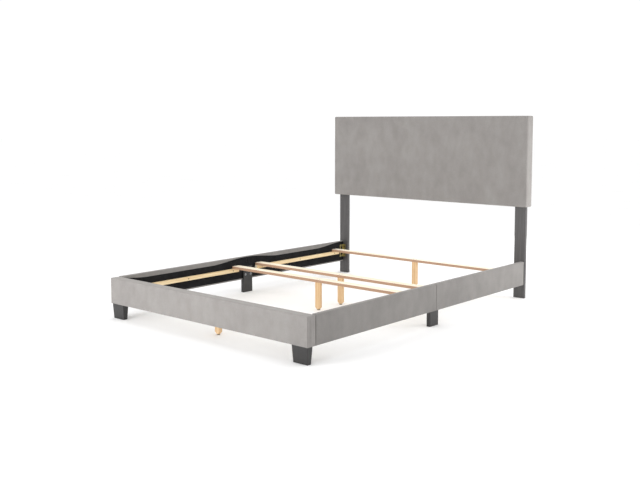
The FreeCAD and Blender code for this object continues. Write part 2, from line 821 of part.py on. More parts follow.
make_headboard()
make_footboard()
for side_name, side in SIDES.items():
    make_front_foot(side_name, side)
    for half in ("front", "rear"):
        make_rail_half(side_name, side, half)
    make_mid_leg(side_name, side)
    for end in ("head", "foot"):
        make_bracket(side_name, side, end)
for index, start in enumerate(slat_starts, 1):
    make_slat(index, start)
    make_slat_leg(index, start)
    make_leveller(index, start)
make_insert_nuts()

# ---------------------------------------------------------------------------
# Check and write
# ---------------------------------------------------------------------------
doc.recompute()
for thing in doc.Objects:
    if "Invalid" in thing.State or "Error" in thing.State:
        raise RuntimeError(f"{thing.Label} failed: {thing.State}")
labels = [part.Label for part in nodes]
if len(set(labels)) != len(labels):
    raise RuntimeError("two sub-parts share a label")
for part in nodes:
    if part.Shape.isNull() or not part.Shape.isValid() or not part.Shape.Solids:
        raise RuntimeError(f"{part.Label} has no valid solid")

os.makedirs("parts", exist_ok=True)
for part in nodes:
    part.Shape.exportStep(os.path.join("parts", f"{part.Label}.step"))
print(f"{len(nodes)} sub-parts written")
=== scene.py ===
# %% [markdown]
# # An upholstered headboard bed
#
# The bed is a flat-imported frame: a padded headboard on two dark posts, a padded footboard on two short
# feet, side rails in two halves that meet on a middle leg, and four slats that lie on ledgers.
# The engineering model already fixes every size and place. This lesson keeps those and gives the bed its
# looks: fabric that swells over foam, non-woven lining, stained and raw wood, and plated fixings.
# Everything is in metres, with +X to the right, +Y towards the head and +Z up.

# %% Load the frame
import math

import bmesh
import bpy
import numpy as np
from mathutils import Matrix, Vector, noise


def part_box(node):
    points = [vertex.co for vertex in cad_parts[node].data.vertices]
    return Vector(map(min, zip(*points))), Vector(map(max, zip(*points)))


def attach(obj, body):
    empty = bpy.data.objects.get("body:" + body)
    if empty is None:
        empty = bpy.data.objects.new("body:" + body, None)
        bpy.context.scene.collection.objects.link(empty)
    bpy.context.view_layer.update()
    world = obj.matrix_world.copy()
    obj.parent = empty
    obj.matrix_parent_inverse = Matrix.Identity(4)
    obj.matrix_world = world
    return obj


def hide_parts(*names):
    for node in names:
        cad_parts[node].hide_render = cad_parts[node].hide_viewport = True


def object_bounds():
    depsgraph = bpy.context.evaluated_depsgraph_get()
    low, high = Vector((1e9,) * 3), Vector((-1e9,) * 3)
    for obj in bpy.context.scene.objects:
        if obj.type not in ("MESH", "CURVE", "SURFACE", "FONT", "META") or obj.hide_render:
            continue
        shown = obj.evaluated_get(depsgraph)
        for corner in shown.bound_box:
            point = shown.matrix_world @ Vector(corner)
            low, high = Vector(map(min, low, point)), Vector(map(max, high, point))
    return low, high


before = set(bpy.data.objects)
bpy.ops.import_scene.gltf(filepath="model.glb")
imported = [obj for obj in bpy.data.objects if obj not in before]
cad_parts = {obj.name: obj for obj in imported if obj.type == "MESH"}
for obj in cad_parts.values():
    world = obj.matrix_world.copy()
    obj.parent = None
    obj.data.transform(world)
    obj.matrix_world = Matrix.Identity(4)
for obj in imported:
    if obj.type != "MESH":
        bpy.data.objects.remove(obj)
cad_low, cad_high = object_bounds()
MM = 0.001
print("bed, metres:", [round(size, 3) for size in cad_high - cad_low])

# %% [markdown]
# ## The camera
#
# A catalogue view of a bed is taken from standing height, a few metres off the right foot corner, with a
# lens a little longer than normal, so that the far headboard doesn't shrink away. A small downward shift
# of the lens brings the floor into the picture while the posts stay nearly upright.

# %% Camera
CAMERA_PLACE = (3.528, -4.130, 1.176)
CAMERA_HEADING = 41.16
CAMERA_TILT = 5.245
CAMERA_LENS = 48.57
CAMERA_SHIFT = -0.06


def place_camera():
    """A camera that looks along its heading, turned from +Y towards -X, and tilted down."""
    camera = bpy.data.objects.new("camera", bpy.data.cameras.new("camera"))
    camera.location = CAMERA_PLACE
    camera.rotation_euler = (math.radians(90 - CAMERA_TILT), 0, math.radians(CAMERA_HEADING))
    camera.data.lens = CAMERA_LENS
    camera.data.shift_y = CAMERA_SHIFT
    bpy.context.collection.objects.link(camera)
    return camera


bpy.context.scene.camera = place_camera()
print("camera at", CAMERA_PLACE, "lens", CAMERA_LENS)

# %% [markdown]
# ## Colours and nodes
#
# Colours are picked on a screen as sRGB hex codes, and the renderer wants linear light, so one function
# turns one into the other. A second function adds any node at all, with its settings and its links. The
# others are short recipes of several nodes that most finishes share: noise of a real size, a colour that
# follows a value, and the surface that ends a material, with its relief.


# %% Colour and node helpers
def linear(code):
    """A colour in linear light from its sRGB hex code."""
    parts = [int(code[k:k + 2], 16) / 255 for k in (1, 3, 5)]
    return (*[p / 12.92 if p <= 0.04045 else ((p + 0.055) / 1.055) ** 2.4 for p in parts], 1)


def put(tree, kind, inputs=None, **settings):
    """Adds a node: settings are its options, and inputs are values or the sockets that feed it."""
    node = tree.nodes.new(kind)
    for name, value in settings.items():
        setattr(node, name, value)
    for name, value in (inputs or {}).items():
        if isinstance(value, bpy.types.NodeSocket):
            tree.links.new(value, node.inputs[name])
        else:
            node.inputs[name].default_value = value
    return node


def new_material(name):
    """An empty node material, and its tree."""
    material = bpy.data.materials.new(name)
    material.use_nodes = True
    material.node_tree.nodes.clear()
    return material, material.node_tree


def per(size):
    """The scale of a pattern whose features are that many millimetres across."""
    return 1 / (size * MM)


def noise_at(tree, size, detail=2.0, stretch=(1, 1, 1), seed=0.0):
    """Noise with features of about that many millimetres, longer along an axis by its stretch."""
    where = put(tree, "ShaderNodeTexCoord").outputs["Object"]
    scale = [per(size) / s for s in stretch]
    mapped = put(tree, "ShaderNodeMapping", {"Vector": where, "Location": (seed, seed, seed), "Scale": scale})
    node = put(tree, "ShaderNodeTexNoise", {"Vector": mapped.outputs[0], "Scale": 1.0, "Detail": detail})
    return node.outputs["Fac"]


def toned(tree, value, low, high, first, second, most=1.0):
    """The first colour where a value is low, turning to the second by at most that share where it is high."""
    given = {"Value": value, "From Min": low, "From Max": high, "To Max": most}
    share = put(tree, "ShaderNodeMapRange", given).outputs[0]
    return put(tree, "ShaderNodeMix", {0: share, 6: first, 7: second}, data_type="RGBA").outputs[2]


def surfaced(tree, relief=None, **inputs):
    """Ends a material with one surface shader. Relief is a height, its strength and its millimetres."""
    named = {key.replace("_", " "): value for key, value in inputs.items()}
    if relief:
        height, strength, depth = relief
        bump = put(tree, "ShaderNodeBump", {"Height": height, "Strength": strength, "Distance": depth * MM})
        named["Normal"] = bump.outputs[0]
    shader = put(tree, "ShaderNodeBsdfPrincipled", named)
    put(tree, "ShaderNodeOutputMaterial", {"Surface": shader.outputs[0]})


print("a mid grey in linear light:", [round(part, 3) for part in linear("#808080")[:3]])

# %% [markdown]
# ## Floor and light
#
# A product stands on a plain pale floor under broad soft light, so that nothing competes with it. The
# whole surround glows white and four large panels give the shapes a direction: one low in front, which
# lifts the footboard, one on the right, which lifts the headboard's edge, one overhead, and one behind.

# %% Floor and light
FLOOR_RADIUS = 60.0
SURROUND_LIGHT = 1.04


def painted_floor():
    """White floor paint: a matt coat with a faint roller mottle."""
    material, tree = new_material("white_floor_paint")
    colour = toned(tree, noise_at(tree, 400), 0.3, 0.7, linear("#fafafa"), linear("#fdfdfd"))
    surfaced(tree, Base_Color=colour, Roughness=0.9, Specular_IOR_Level=0.1)
    return material


def lay_floor():
    """A round floor that reaches far past the bed."""
    mesh = bpy.data.meshes.new("floor")
    shape = bmesh.new()
    bmesh.ops.create_circle(shape, cap_ends=True, segments=96, radius=FLOOR_RADIUS)
    shape.to_mesh(mesh)
    shape.free()
    mesh.materials.append(painted_floor())
    floor = bpy.data.objects.new("floor", mesh)
    bpy.context.collection.objects.link(floor)


def light_panel(name, place, aim, size, power):
    """A soft square light that points at a place."""
    lamp = bpy.data.lights.new(name, "AREA")
    lamp.size = size
    lamp.energy = power
    panel = bpy.data.objects.new(name, lamp)
    panel.location = place
    panel.rotation_euler = (Vector(aim) - Vector(place)).to_track_quat("-Z", "Y").to_euler()
    bpy.context.collection.objects.link(panel)


def light_studio():
    """The white surround and its panels."""
    world = bpy.data.worlds.new("studio")
    world.use_nodes = True
    background = world.node_tree.nodes["Background"]
    background.inputs["Color"].default_value = (1, 1, 1, 1)
    background.inputs["Strength"].default_value = SURROUND_LIGHT
    bpy.context.scene.world = world
    foot = Vector((0, cad_low.y, 0.2))
    head = Vector((cad_high.x, cad_high.y, 0.9))
    light_panel("front_panel", foot + Vector((-0.5, -2.3, 0.5)), foot, 1.4, 40)
    light_panel("right_panel", head + Vector((1.3, 0.4, -0.2)), head + Vector((0, -0.4, -0.2)), 1.0, 17)
    light_panel("top_panel", (0, 0, 3.2), (0, 0, 0), 3.0, 15)
    light_panel("back_panel", (-0.8, cad_high.y + 2.6, 1.3), (0, cad_high.y, 0.7), 1.8, 22)


bpy.context.scene.view_settings.view_transform = "Standard"
lay_floor()
light_studio()
print("floor radius, metres:", FLOOR_RADIUS)

# %% [markdown]
# ## Upholstery velvet
#
# The cover is a short-pile polyester velvet. Its pile leans, and wherever a hand has brushed it the other
# way it looks a shade lighter or darker, so the eye sees soft, upright patches on an even warm grey.
# Three sizes of noise make those: hand-wide patches, finger-wide marks and the fibre itself. The sheen
# layer gives the pale rim that pile has at a grazing angle. The fibre is far too fine to show, so it is
# drawn at 5 mm and its relief at 2 mm. On the side rails the cloth runs the other way, along the rail, and
# its pile then looks a little deeper, so the same recipe is mixed twice, the second time darker: the darker
# copy is painted shade, for the dimmer look of the rails.


# %% Velvet
# each layer of noise: its size in mm, its detail, how much longer it is upright, its seed, its lowest and
# highest value, and its share of the colour
VELVET_LAYERS = [
    (170, 3.0, 1.3, 0.0, 0.32, 0.68, 0.4),
    (48, 3.0, 1.7, 3.0, 0.3, 0.7, 0.38),
    (5, 2.0, 1.8, 7.0, 0.3, 0.7, 0.22),
]


def velvet(name, hollow, crest):
    """Warm grey short-pile velvet, from the shade in its brushed hollows to the shade on its crests."""
    material, tree = new_material(name)
    share = 0.0
    for size, detail, upright, seed, low, high, weight in VELVET_LAYERS:
        layer = noise_at(tree, size, detail, (1, 1, upright), seed)
        given = {"Value": layer, "From Min": low, "From Max": high, "To Max": weight}
        layer = put(tree, "ShaderNodeMapRange", given).outputs[0]
        share = put(tree, "ShaderNodeMath", {0: share, 1: layer}, operation="ADD").outputs[0]
    colour = toned(tree, share, 0.0, 1.0, linear(hollow), linear(crest))
    surfaced(tree, (noise_at(tree, 2, 1.0), 0.2, 0.4), Base_Color=colour, Roughness=0.88,
             Specular_IOR_Level=0.25, Sheen_Weight=0.2, Sheen_Roughness=0.45, Sheen_Tint=linear("#f4f0ea"))
    return material


VELVET = velvet("polyester_velvet", "#817d7b", "#94918e")
# the side rails' copy is darker: painted shade
RAIL_VELVET_PAINTED_SHADE = velvet("polyester_velvet_lengthways_painted_shade", "#787573", "#8b8885")
print("finishes:", VELVET.name, RAIL_VELVET_PAINTED_SHADE.name)

# %% [markdown]
# ## Lining and foam
#
# The inner faces are closed with spun-bond polypropylene, the black papery cloth under most furniture.
# Heat points bond its fibres in a small diamond grid, which is drawn here at 4 mm so that it shows.
# The foam is cream polyurethane with open cells, and it only shows if the cover is taken off.


# %% Lining and foam
def nonwoven():
    """Black spun-bond polypropylene."""
    material, tree = new_material("spunbond_lining")
    where = put(tree, "ShaderNodeTexCoord").outputs["Object"]
    dimples = put(tree, "ShaderNodeTexVoronoi", {"Vector": where, "Scale": per(4)}, feature="SMOOTH_F1")
    colour = toned(tree, noise_at(tree, 45, 4.0), 0.3, 0.7, linear("#0d0d0f"), linear("#1b1b1d"))
    surfaced(tree, (dimples.outputs["Distance"], 0.5, 0.6), Base_Color=colour, Roughness=0.88,
             Specular_IOR_Level=0.22)
    return material


def foam():
    """Cream polyurethane foam with open cells."""
    material, tree = new_material("polyurethane_foam")
    where = put(tree, "ShaderNodeTexCoord").outputs["Object"]
    cells = put(tree, "ShaderNodeTexVoronoi", {"Vector": where, "Scale": per(2)}).outputs["Distance"]
    colour = toned(tree, cells, 0.0, 1.0, linear("#d8c48a"), linear("#efe3b8"))
    surfaced(tree, (cells, 0.6, 0.8), Base_Color=colour, Roughness=0.95)
    return material


LINING = nonwoven()
FOAM = foam()
print("finishes:", LINING.name, FOAM.name)

# %% [markdown]
# ## Woods
#
# Wood is a bundle of fibres, so every pattern in it is long one way and short across. One function draws
# that for any direction: growth bands a few millimetres apart, bent by slow noise, with fine fibre
# streaks over them. Another tells which faces the fibres run into, because those show darker end grain.

# %% Grain
ALONG_X, ALONG_Y, ALONG_Z = 0, 1, 2
BAND_STRETCH = 28            # how many times longer than wide a growth band is
STREAK_STRETCH = 60          # and a fibre streak


def facing(tree, axis):
    """How far a face points along an axis, from 0 to 1."""
    normal = put(tree, "ShaderNodeTexCoord").outputs["Normal"]
    parts = put(tree, "ShaderNodeSeparateXYZ", {"Vector": normal})
    return put(tree, "ShaderNodeMath", {0: parts.outputs[axis]}, operation="ABSOLUTE").outputs[0]


def grain(tree, axis, band, streak):
    """Growth bands and fibre streaks, in millimetres across, for fibres along an axis."""
    long_bands = [1, 1, 1]
    long_bands[axis] = BAND_STRETCH
    long_streaks = [1, 1, 1]
    long_streaks[axis] = STREAK_STRETCH
    bands = noise_at(tree, band, 3.0, long_bands)
    streaks = noise_at(tree, streak, 2.0, long_streaks, 5.0)
    return bands, streaks


print("growth bands are", BAND_STRETCH, "times longer than wide, and streaks", STREAK_STRETCH)

# %% [markdown]
# ## Raw pine and sawn softwood
#
# The ledgers and the slats' legs are planed pine with no finish, so they stay matt and pale, and the frame
# inside is cheaper softwood, rougher and browner. They differ in colour and in the way their fibres run,
# so one recipe makes them all.


# %% Raw wood
def raw_wood(name, axis, pale, dark, end):
    """Planed softwood with its fibres along an axis."""
    material, tree = new_material(name)
    bands, streaks = grain(tree, axis, 9, 1.6)
    colour = toned(tree, bands, 0.35, 0.65, linear(dark), linear(pale))
    colour = toned(tree, streaks, 0.3, 0.75, colour, linear(dark), 0.3)
    colour = toned(tree, facing(tree, axis), 0.85, 0.95, colour, linear(end))
    given = {"Value": streaks, "From Min": 0.3, "From Max": 0.7, "To Min": 0.55, "To Max": 0.7}
    rough = put(tree, "ShaderNodeMapRange", given).outputs[0]
    surfaced(tree, (streaks, 0.3, 0.25), Base_Color=colour, Roughness=rough, Specular_IOR_Level=0.35)
    return material


PINE_Y = raw_wood("raw_pine_lengthways", ALONG_Y, "#f3e0ba", "#dcbd8d", "#f3e9d2")
PINE_Z = raw_wood("raw_pine_upright", ALONG_Z, "#e6c9a0", "#d2aa7c", "#c6a275")
SAWN = raw_wood("sawn_softwood", ALONG_Y, "#dcc193", "#b98f5e", "#c7a87c")
print("raw woods:", PINE_Y.name, PINE_Z.name, SAWN.name)

# %% [markdown]
# ## Pressed slats
#
# A slat is glued from thin veneers under pressure. Its faces are pale and its narrow edges show the layers
# as fine brown lines, which follow the height on the slat, so they are a wave of the Z coordinate. The faces
# that look up or down are made paler still than the veneer is, as a painted highlight, and the edges stay
# brown.


# %% Pressed slats
def veneer_slat():
    """A slat pressed from veneers: pale faces with a painted highlight, brown glue-lined edges."""
    material, tree = new_material("pressed_veneer_painted_highlight")
    bands, streaks = grain(tree, ALONG_X, 12, 1.8)
    # the face colour is near white: pale veneer with a painted highlight, given to faces that look up or down
    face = toned(tree, bands, 0.35, 0.65, linear("#f0dfc2"), linear("#fcf3e2"))
    where = put(tree, "ShaderNodeTexCoord").outputs["Object"]
    height = put(tree, "ShaderNodeSeparateXYZ", {"Vector": where}).outputs["Z"]
    # one veneer is 1.8 mm thick, and every second one is laid across
    layer = put(tree, "ShaderNodeMath", {0: height, 1: per(1.8)}, operation="MULTIPLY").outputs[0]
    layer = put(tree, "ShaderNodeMath", {0: layer, 1: 1.0}, operation="PINGPONG").outputs[0]
    edge = toned(tree, layer, 0.0, 1.0, linear("#a98468"), linear("#c9a389"))
    edge = toned(tree, streaks, 0.3, 0.7, edge, linear("#8d735d"), 0.4)
    colour = toned(tree, facing(tree, ALONG_Z), 0.5, 0.8, edge, face)
    surfaced(tree, (streaks, 0.3, 0.25), Base_Color=colour, Roughness=0.6, Specular_IOR_Level=0.35)
    return material


SLAT = veneer_slat()
print("slats:", SLAT.name)

# %% [markdown]
# ## Stained rubberwood
#
# The posts and the feet are rubberwood in espresso stain under satin lacquer. Stain gathers in the pores,
# so the streaks turn darker and not lighter, and a thin coat over the wood gives it a soft shine. The feet
# and the middle legs take a much darker copy of the same stain: that is painted shade, for the shade low
# down near the floor and under the footboard.


# %% Stained wood
def stained_wood(name, dark, light):
    """Rubberwood in espresso stain under satin lacquer, fibres upright."""
    material, tree = new_material(name)
    bands, streaks = grain(tree, ALONG_Z, 7, 1.4)
    colour = toned(tree, bands, 0.35, 0.65, linear(dark), linear(light))
    colour = toned(tree, streaks, 0.58, 0.72, colour, linear(dark), 0.35)
    given = {"Value": streaks, "From Min": 0.3, "From Max": 0.7, "To Min": 0.36, "To Max": 0.48}
    rough = put(tree, "ShaderNodeMapRange", given).outputs[0]
    surfaced(tree, (streaks, 0.25, 0.2), Base_Color=colour, Roughness=rough, Coat_Weight=0.15,
             Coat_Roughness=0.3)
    return material


STAINED_POST = stained_wood("stained_rubberwood_post", "#403e3e", "#4d4b4b")
# the feet and the middle legs: the same stain mixed much darker, as painted shade low down
STAINED_LEG_PAINTED_SHADE = stained_wood("stained_rubberwood_leg_painted_shade", "#1b1a1a", "#232121")
print("stained woods:", STAINED_POST.name, STAINED_LEG_PAINTED_SHADE.name)

# %% [markdown]
# ## Plywood
#
# The boards behind the foam are birch plywood. They are nearly hidden, so they only need its broad bands.


# %% Plywood
def plywood():
    """Birch plywood, of which mostly the plain pale face shows."""
    material, tree = new_material("birch_plywood")
    bands, streaks = grain(tree, ALONG_X, 30, 2.0)
    colour = toned(tree, bands, 0.3, 0.7, linear("#d8bd92"), linear("#e9d6b3"))
    surfaced(tree, (streaks, 0.25, 0.2), Base_Color=colour, Roughness=0.62)
    return material


PLYWOOD = plywood()
print("boards:", PLYWOOD.name)

# %% [markdown]
# ## Plated steel and moulded plastic
#
# Zinc plating is a bright grey metal with a soft blur. The corner brackets are passivated after plating,
# which leaves a thin film in olive and straw yellow. Wood screws are phosphated, nearly black and dull.
# The leveller glides are beige nylon out of a mould, with the fine dull texture of its sparked walls.


# %% Metals and plastic
def zinc(name, colour, cloud, rough):
    """Zinc-plated steel, with clouds of a second colour in its passivated film."""
    material, tree = new_material(name)
    film = toned(tree, noise_at(tree, 14, 3.0), 0.35, 0.65, linear(colour), linear(cloud), 0.6)
    grit = noise_at(tree, 1.2, 2.0)
    given = {"Value": grit, "From Min": 0.3, "From Max": 0.7, "To Min": rough, "To Max": rough + 0.14}
    rough = put(tree, "ShaderNodeMapRange", given).outputs[0]
    surfaced(tree, (grit, 0.15, 0.1), Base_Color=film, Metallic=1.0, Roughness=rough)
    return material


def nylon():
    """Beige moulded nylon."""
    material, tree = new_material("moulded_nylon")
    texture = noise_at(tree, 1.0, 2.0)
    colour = toned(tree, texture, 0.0, 1.0, linear("#8f8674"), linear("#a59b88"))
    surfaced(tree, (texture, 0.3, 0.15), Base_Color=colour, Roughness=0.5)
    return material


YELLOW_ZINC = zinc("yellow_zinc", "#b8ae7e", "#978c58", 0.32)
BRIGHT_ZINC = zinc("bright_zinc", "#97999c", "#7c7f82", 0.36)
DARK_STEEL = zinc("phosphated_steel", "#4a463f", "#35312c", 0.45)
NYLON = nylon()
print("metals:", YELLOW_ZINC.name, BRIGHT_ZINC.name, DARK_STEEL.name)

# %% [markdown]
# ## Finishes for the engineering pieces
#
# Every piece of the frame already names a material slot, such as pine or bracket steel. Its finish is
# put into that slot. The mesh isn't touched.

# %% Dress the frame
SLOT_FINISH = {
    "upholstery": VELVET,
    "lining": LINING,
    "foam": FOAM,
    "dark_wood": STAINED_POST,
    "plywood": PLYWOOD,
    "frame_wood": SAWN,
    "pine": PINE_Y,
    "bracket_steel": YELLOW_ZINC,
    "zinc_bolt": BRIGHT_ZINC,
    "zinc_screw": DARK_STEEL,
    "leveller_plastic": NYLON,
}
node_slot = {name: node.material_slots[0].material.name for name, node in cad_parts.items()}
for name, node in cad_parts.items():
    node.material_slots[0].material = SLOT_FINISH[node_slot[name]]
print("dressed", len(node_slot), "pieces")

# %% [markdown]
# ## A cover's starting shape
#
# A fabric cover is a bag with an opening: it goes over the front and the edges and is stapled on the back.
# Its starting shape is a box of evenly spaced quads whose edges are rounded, because cloth folds and
# stretches well on quads. Each vertex outside an inner box is pulled to a fixed distance from it, and that
# rounds every edge and corner at once. The grid lines crowd together over the rounding, and extra lines
# fall exactly on the edges of openings, so that a cut there is straight.

# %% Rounded box of quads
ROUNDING_STEPS = 4


def grid_lines(low, high, radius, step, stops):
    """Places of the grid lines along one side, with a line at each stop."""
    turn = [radius * (1 - math.tan(math.pi / 4 * (1 - k / ROUNDING_STEPS))) for k in range(ROUNDING_STEPS)]
    inner = sorted({low + radius, high - radius, *[s for s in stops if low + radius < s < high - radius]})
    lines = [low + t for t in turn]
    for start, end in zip(inner, inner[1:]):
        count = max(1, round((end - start) / step))
        lines += [start + (end - start) * k / count for k in range(count)]
    return lines + [inner[-1]] + [high - t for t in reversed(turn)]


def box_side(shape, lines, axis, side):
    """One side of the box as a grid of quads that face outwards."""
    across, up = [(1, 2), (2, 0), (0, 1)][axis]
    fixed = lines[axis][-1 if side else 0]
    rows = []
    for v in lines[up]:
        row = []
        for u in lines[across]:
            place = [0, 0, 0]
            place[axis], place[across], place[up] = fixed, u, v
            row.append(shape.verts.new(place))
        rows.append(row)
    for below, above in zip(rows, rows[1:]):
        for k in range(len(below) - 1):
            corners = (below[k], below[k + 1], above[k + 1], above[k])
            shape.faces.new(corners if side else corners[::-1])


def rounded_box(low, high, radii, step, stops=((), (), ())):
    """A box of quads from low to high, with a rounding radius for each axis."""
    lines = [grid_lines(low[k], high[k], radii[k], step, stops[k]) for k in range(3)]
    shape = bmesh.new()
    for axis in range(3):
        for side in (0, 1):
            box_side(shape, lines, axis, side)
    bmesh.ops.remove_doubles(shape, verts=shape.verts, dist=1e-6)
    for vert in shape.verts:
        inner = [min(max(vert.co[k], low[k] + radii[k]), high[k] - radii[k]) for k in range(3)]
        away = Vector([(vert.co[k] - inner[k]) / radii[k] for k in range(3)])
        if away.length > 0:
            away.normalize()
            vert.co = Vector([inner[k] + away[k] * radii[k] for k in range(3)])
    return shape


def cut_away(shape, low, high):
    """Removes the faces whose middle lies inside a box."""
    inside = []
    for face in shape.faces:
        middle = face.calc_center_median()
        if all(low[k] < middle[k] < high[k] for k in range(3)):
            inside.append(face)
    bmesh.ops.delete(shape, geom=inside, context="FACES")


def piece_from(shape, name, material):
    """A Blender object from finished mesh code."""
    mesh = bpy.data.meshes.new(name)
    shape.to_mesh(mesh)
    shape.free()
    mesh.materials.append(material)
    mesh.polygons.foreach_set("use_smooth", [True] * len(mesh.polygons))
    piece = bpy.data.objects.new(name, mesh)
    bpy.context.collection.objects.link(piece)
    return piece


print("rounding steps:", ROUNDING_STEPS)

# %% [markdown]
# ## Letting the foam swell the fabric
#
# Foam pushes out evenly and the fabric holds it back where it is stapled. That is a cloth simulation with
# pressure and no gravity: the stapled vertices are pinned, twenty frames are stepped, and the result is
# read back. Upholstery on a board is tight, so no point may move further than a few millimetres, and the
# board and the battens are hard, so no point may move inwards.

# %% Swell
SWELL_FRAMES = 20
SWELL_PRESSURE = 4.0


def simulate(piece, pinned, cap):
    """Runs the cloth with some vertices pinned, and gives each vertex's capped movement."""
    before = np.array([v.co for v in piece.data.vertices])
    group = piece.vertex_groups.new(name="stapled")
    group.add([int(k) for k in pinned], 1.0, "REPLACE")
    cloth = piece.modifiers.new("swell", "CLOTH")
    cloth.settings.quality = 4
    cloth.settings.mass = 0.3
    cloth.settings.vertex_group_mass = group.name
    cloth.settings.use_pressure = True
    cloth.settings.uniform_pressure_force = SWELL_PRESSURE
    cloth.settings.effector_weights.gravity = 0.0
    cloth.collision_settings.use_collision = False
    cloth.collision_settings.use_self_collision = False
    cloth.point_cache.frame_start = 1
    cloth.point_cache.frame_end = SWELL_FRAMES
    for step in range(1, SWELL_FRAMES + 1):
        bpy.context.scene.frame_set(step)
    result = piece.evaluated_get(bpy.context.evaluated_depsgraph_get()).to_mesh()
    after = np.array([v.co for v in result.vertices])
    piece.modifiers.remove(cloth)
    piece.vertex_groups.remove(group)
    bpy.context.scene.frame_set(1)
    moved = after - before
    outwards = np.array([v.normal for v in piece.data.vertices])
    inwards = np.minimum(0, (moved * outwards).sum(axis=1, keepdims=True))
    moved -= inwards * outwards
    length = np.linalg.norm(moved, axis=1, keepdims=True)
    return moved * np.minimum(1, cap / np.maximum(length, 1e-9))


def swell(piece, is_stapled, cap):
    """Swells a cover in place. is_stapled says whether a point is held."""
    places = [v.co.copy() for v in piece.data.vertices]
    pinned = [k for k, place in enumerate(places) if is_stapled(place)]
    moved = simulate(piece, pinned, cap)
    for vert, change in zip(piece.data.vertices, moved):
        vert.co += Vector(change)
    return float(np.abs(moved).max())


def finish_cover(piece, thickness):
    """Gives a cover the thickness of its fabric, inwards, and one smoothing step."""
    solid = piece.modifiers.new("fabric thickness", "SOLIDIFY")
    solid.thickness = thickness
    solid.offset = -1
    smooth = piece.modifiers.new("smoothing", "SUBSURF")
    smooth.levels = 1
    smooth.render_levels = 1


print("swelling over", SWELL_FRAMES, "frames")

# %% [markdown]
# ## The headboard's padded cover
#
# On the real headboard the fabric is pulled over 30 mm of foam on the front and 8 mm on the edges, and
# stapled 25 mm in on the back. It starts a little smaller than its final size and swells to it. The two
# posts come out through slots in its underside, so those slots are cut first, along grid lines.

# %% Headboard cover
FABRIC = 1.2 * MM
HEADBOARD_SWELL = 3 * MM
HEADBOARD_STEP = 11 * MM
HEADBOARD_ROUNDING = (8 * MM, 10 * MM, 8 * MM)
BACK_RETURN = 30 * MM
BACK_CUT = 5 * MM            # how far the cut for the opening reaches through the back
POST_CLEARANCE = 1 * MM
POST_SLOT_HEIGHT = 20 * MM   # how high the cuts for the posts reach
BACK_STAPLED = 12 * MM       # the fabric is held this near the back and this near the posts


def headboard_cover():
    """Fabric over the front, the edges and a strip of the back."""
    low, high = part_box("headboard_cover")
    start_low = low + Vector((HEADBOARD_SWELL, HEADBOARD_SWELL, HEADBOARD_SWELL / 2))
    start_high = high - Vector((HEADBOARD_SWELL, 0, HEADBOARD_SWELL))
    posts = [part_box("headboard_post_left"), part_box("headboard_post_right")]
    slots = []
    for post_low, post_high in posts:
        gap = Vector((POST_CLEARANCE, POST_CLEARANCE, 0))
        slots.append((post_low - gap, post_high + gap))
    stops_x = [corner.x for slot in slots for corner in slot]
    stops_x += [start_low.x + BACK_RETURN, start_high.x - BACK_RETURN]
    stops_y = [corner.y for corner in slots[0]]
    stops_z = [start_low.z + BACK_RETURN, start_high.z - BACK_RETURN]
    stops = (stops_x, stops_y, stops_z)
    shape = rounded_box(start_low, start_high, HEADBOARD_ROUNDING, HEADBOARD_STEP, stops)
    for slot_low, slot_high in slots:
        cut_away(shape, slot_low, Vector((slot_high.x, slot_high.y, low.z + POST_SLOT_HEIGHT)))
    back = Vector((BACK_RETURN, 0, BACK_RETURN))
    cut_away(shape, Vector((start_low.x, high.y - BACK_CUT, start_low.z)) + back,
             Vector((start_high.x, high.y + BACK_CUT, start_high.z)) - back)
    cover = piece_from(shape, "headboard_padded_cover", VELVET)

    def stapled(place):
        under = place.z < start_low.z + 1 * MM and place.y > slots[0][0].y - BACK_STAPLED
        return under or place.y > high.y - BACK_STAPLED

    moved = swell(cover, stapled, HEADBOARD_SWELL)
    print("headboard cover moved up to", round(moved / MM, 1), "mm")
    return cover


headboard = headboard_cover()
finish_cover(headboard, FABRIC)
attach(headboard, "root")
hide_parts("headboard_cover", "headboard_foam")

# %% [markdown]
# ## The footboard's padded cover
#
# The footboard is a shallow padded box, covered the same way. At its two ends the cloth is gathered round
# the corner and tucked under the staples, which leaves soft upright pleats on the end faces. They are
# drawn as ripples that fade towards the top and the bottom.

# %% Footboard cover
FOOTBOARD_SWELL = 2.5 * MM
FOOTBOARD_STEP = 9 * MM
FOOTBOARD_RETURN_TOP = 30 * MM
FOOTBOARD_RETURN_BOTTOM = 14 * MM
FOOTBOARD_SIDE_RETURN = 50 * MM
FOOTBOARD_ROUNDING = (6 * MM, 6 * MM, 4 * MM)
FOOTBOARD_CUT = 4 * MM       # how far the cut for the opening reaches through the inner face
FOOTBOARD_STAPLED = 10 * MM  # the fabric is held this near the inner face
PLEAT_DEPTH = 1.6 * MM
PLEAT_WIDTH = 17 * MM
FOLD_DEPTH = 2.2 * MM        # the corner's own fold, deeper than the pleats
DEEPEST_FOLD = 3 * MM        # the face board's edge lies just behind
FOLD_PLACE = 12 * MM         # behind the front face
FOLD_WIDTH = 5 * MM
FOLD_LINES = 9               # extra grid lines across the fold
FOLD_START = 10 * MM
FOLD_SPACING = 2.5 * MM
FOLD_SWAY = 1.5 * MM         # how far the fold wanders on its way up
PLEAT_ZONE = 6 * MM          # how far in from an end the pleats reach
PLEAT_FADE = 4 * MM


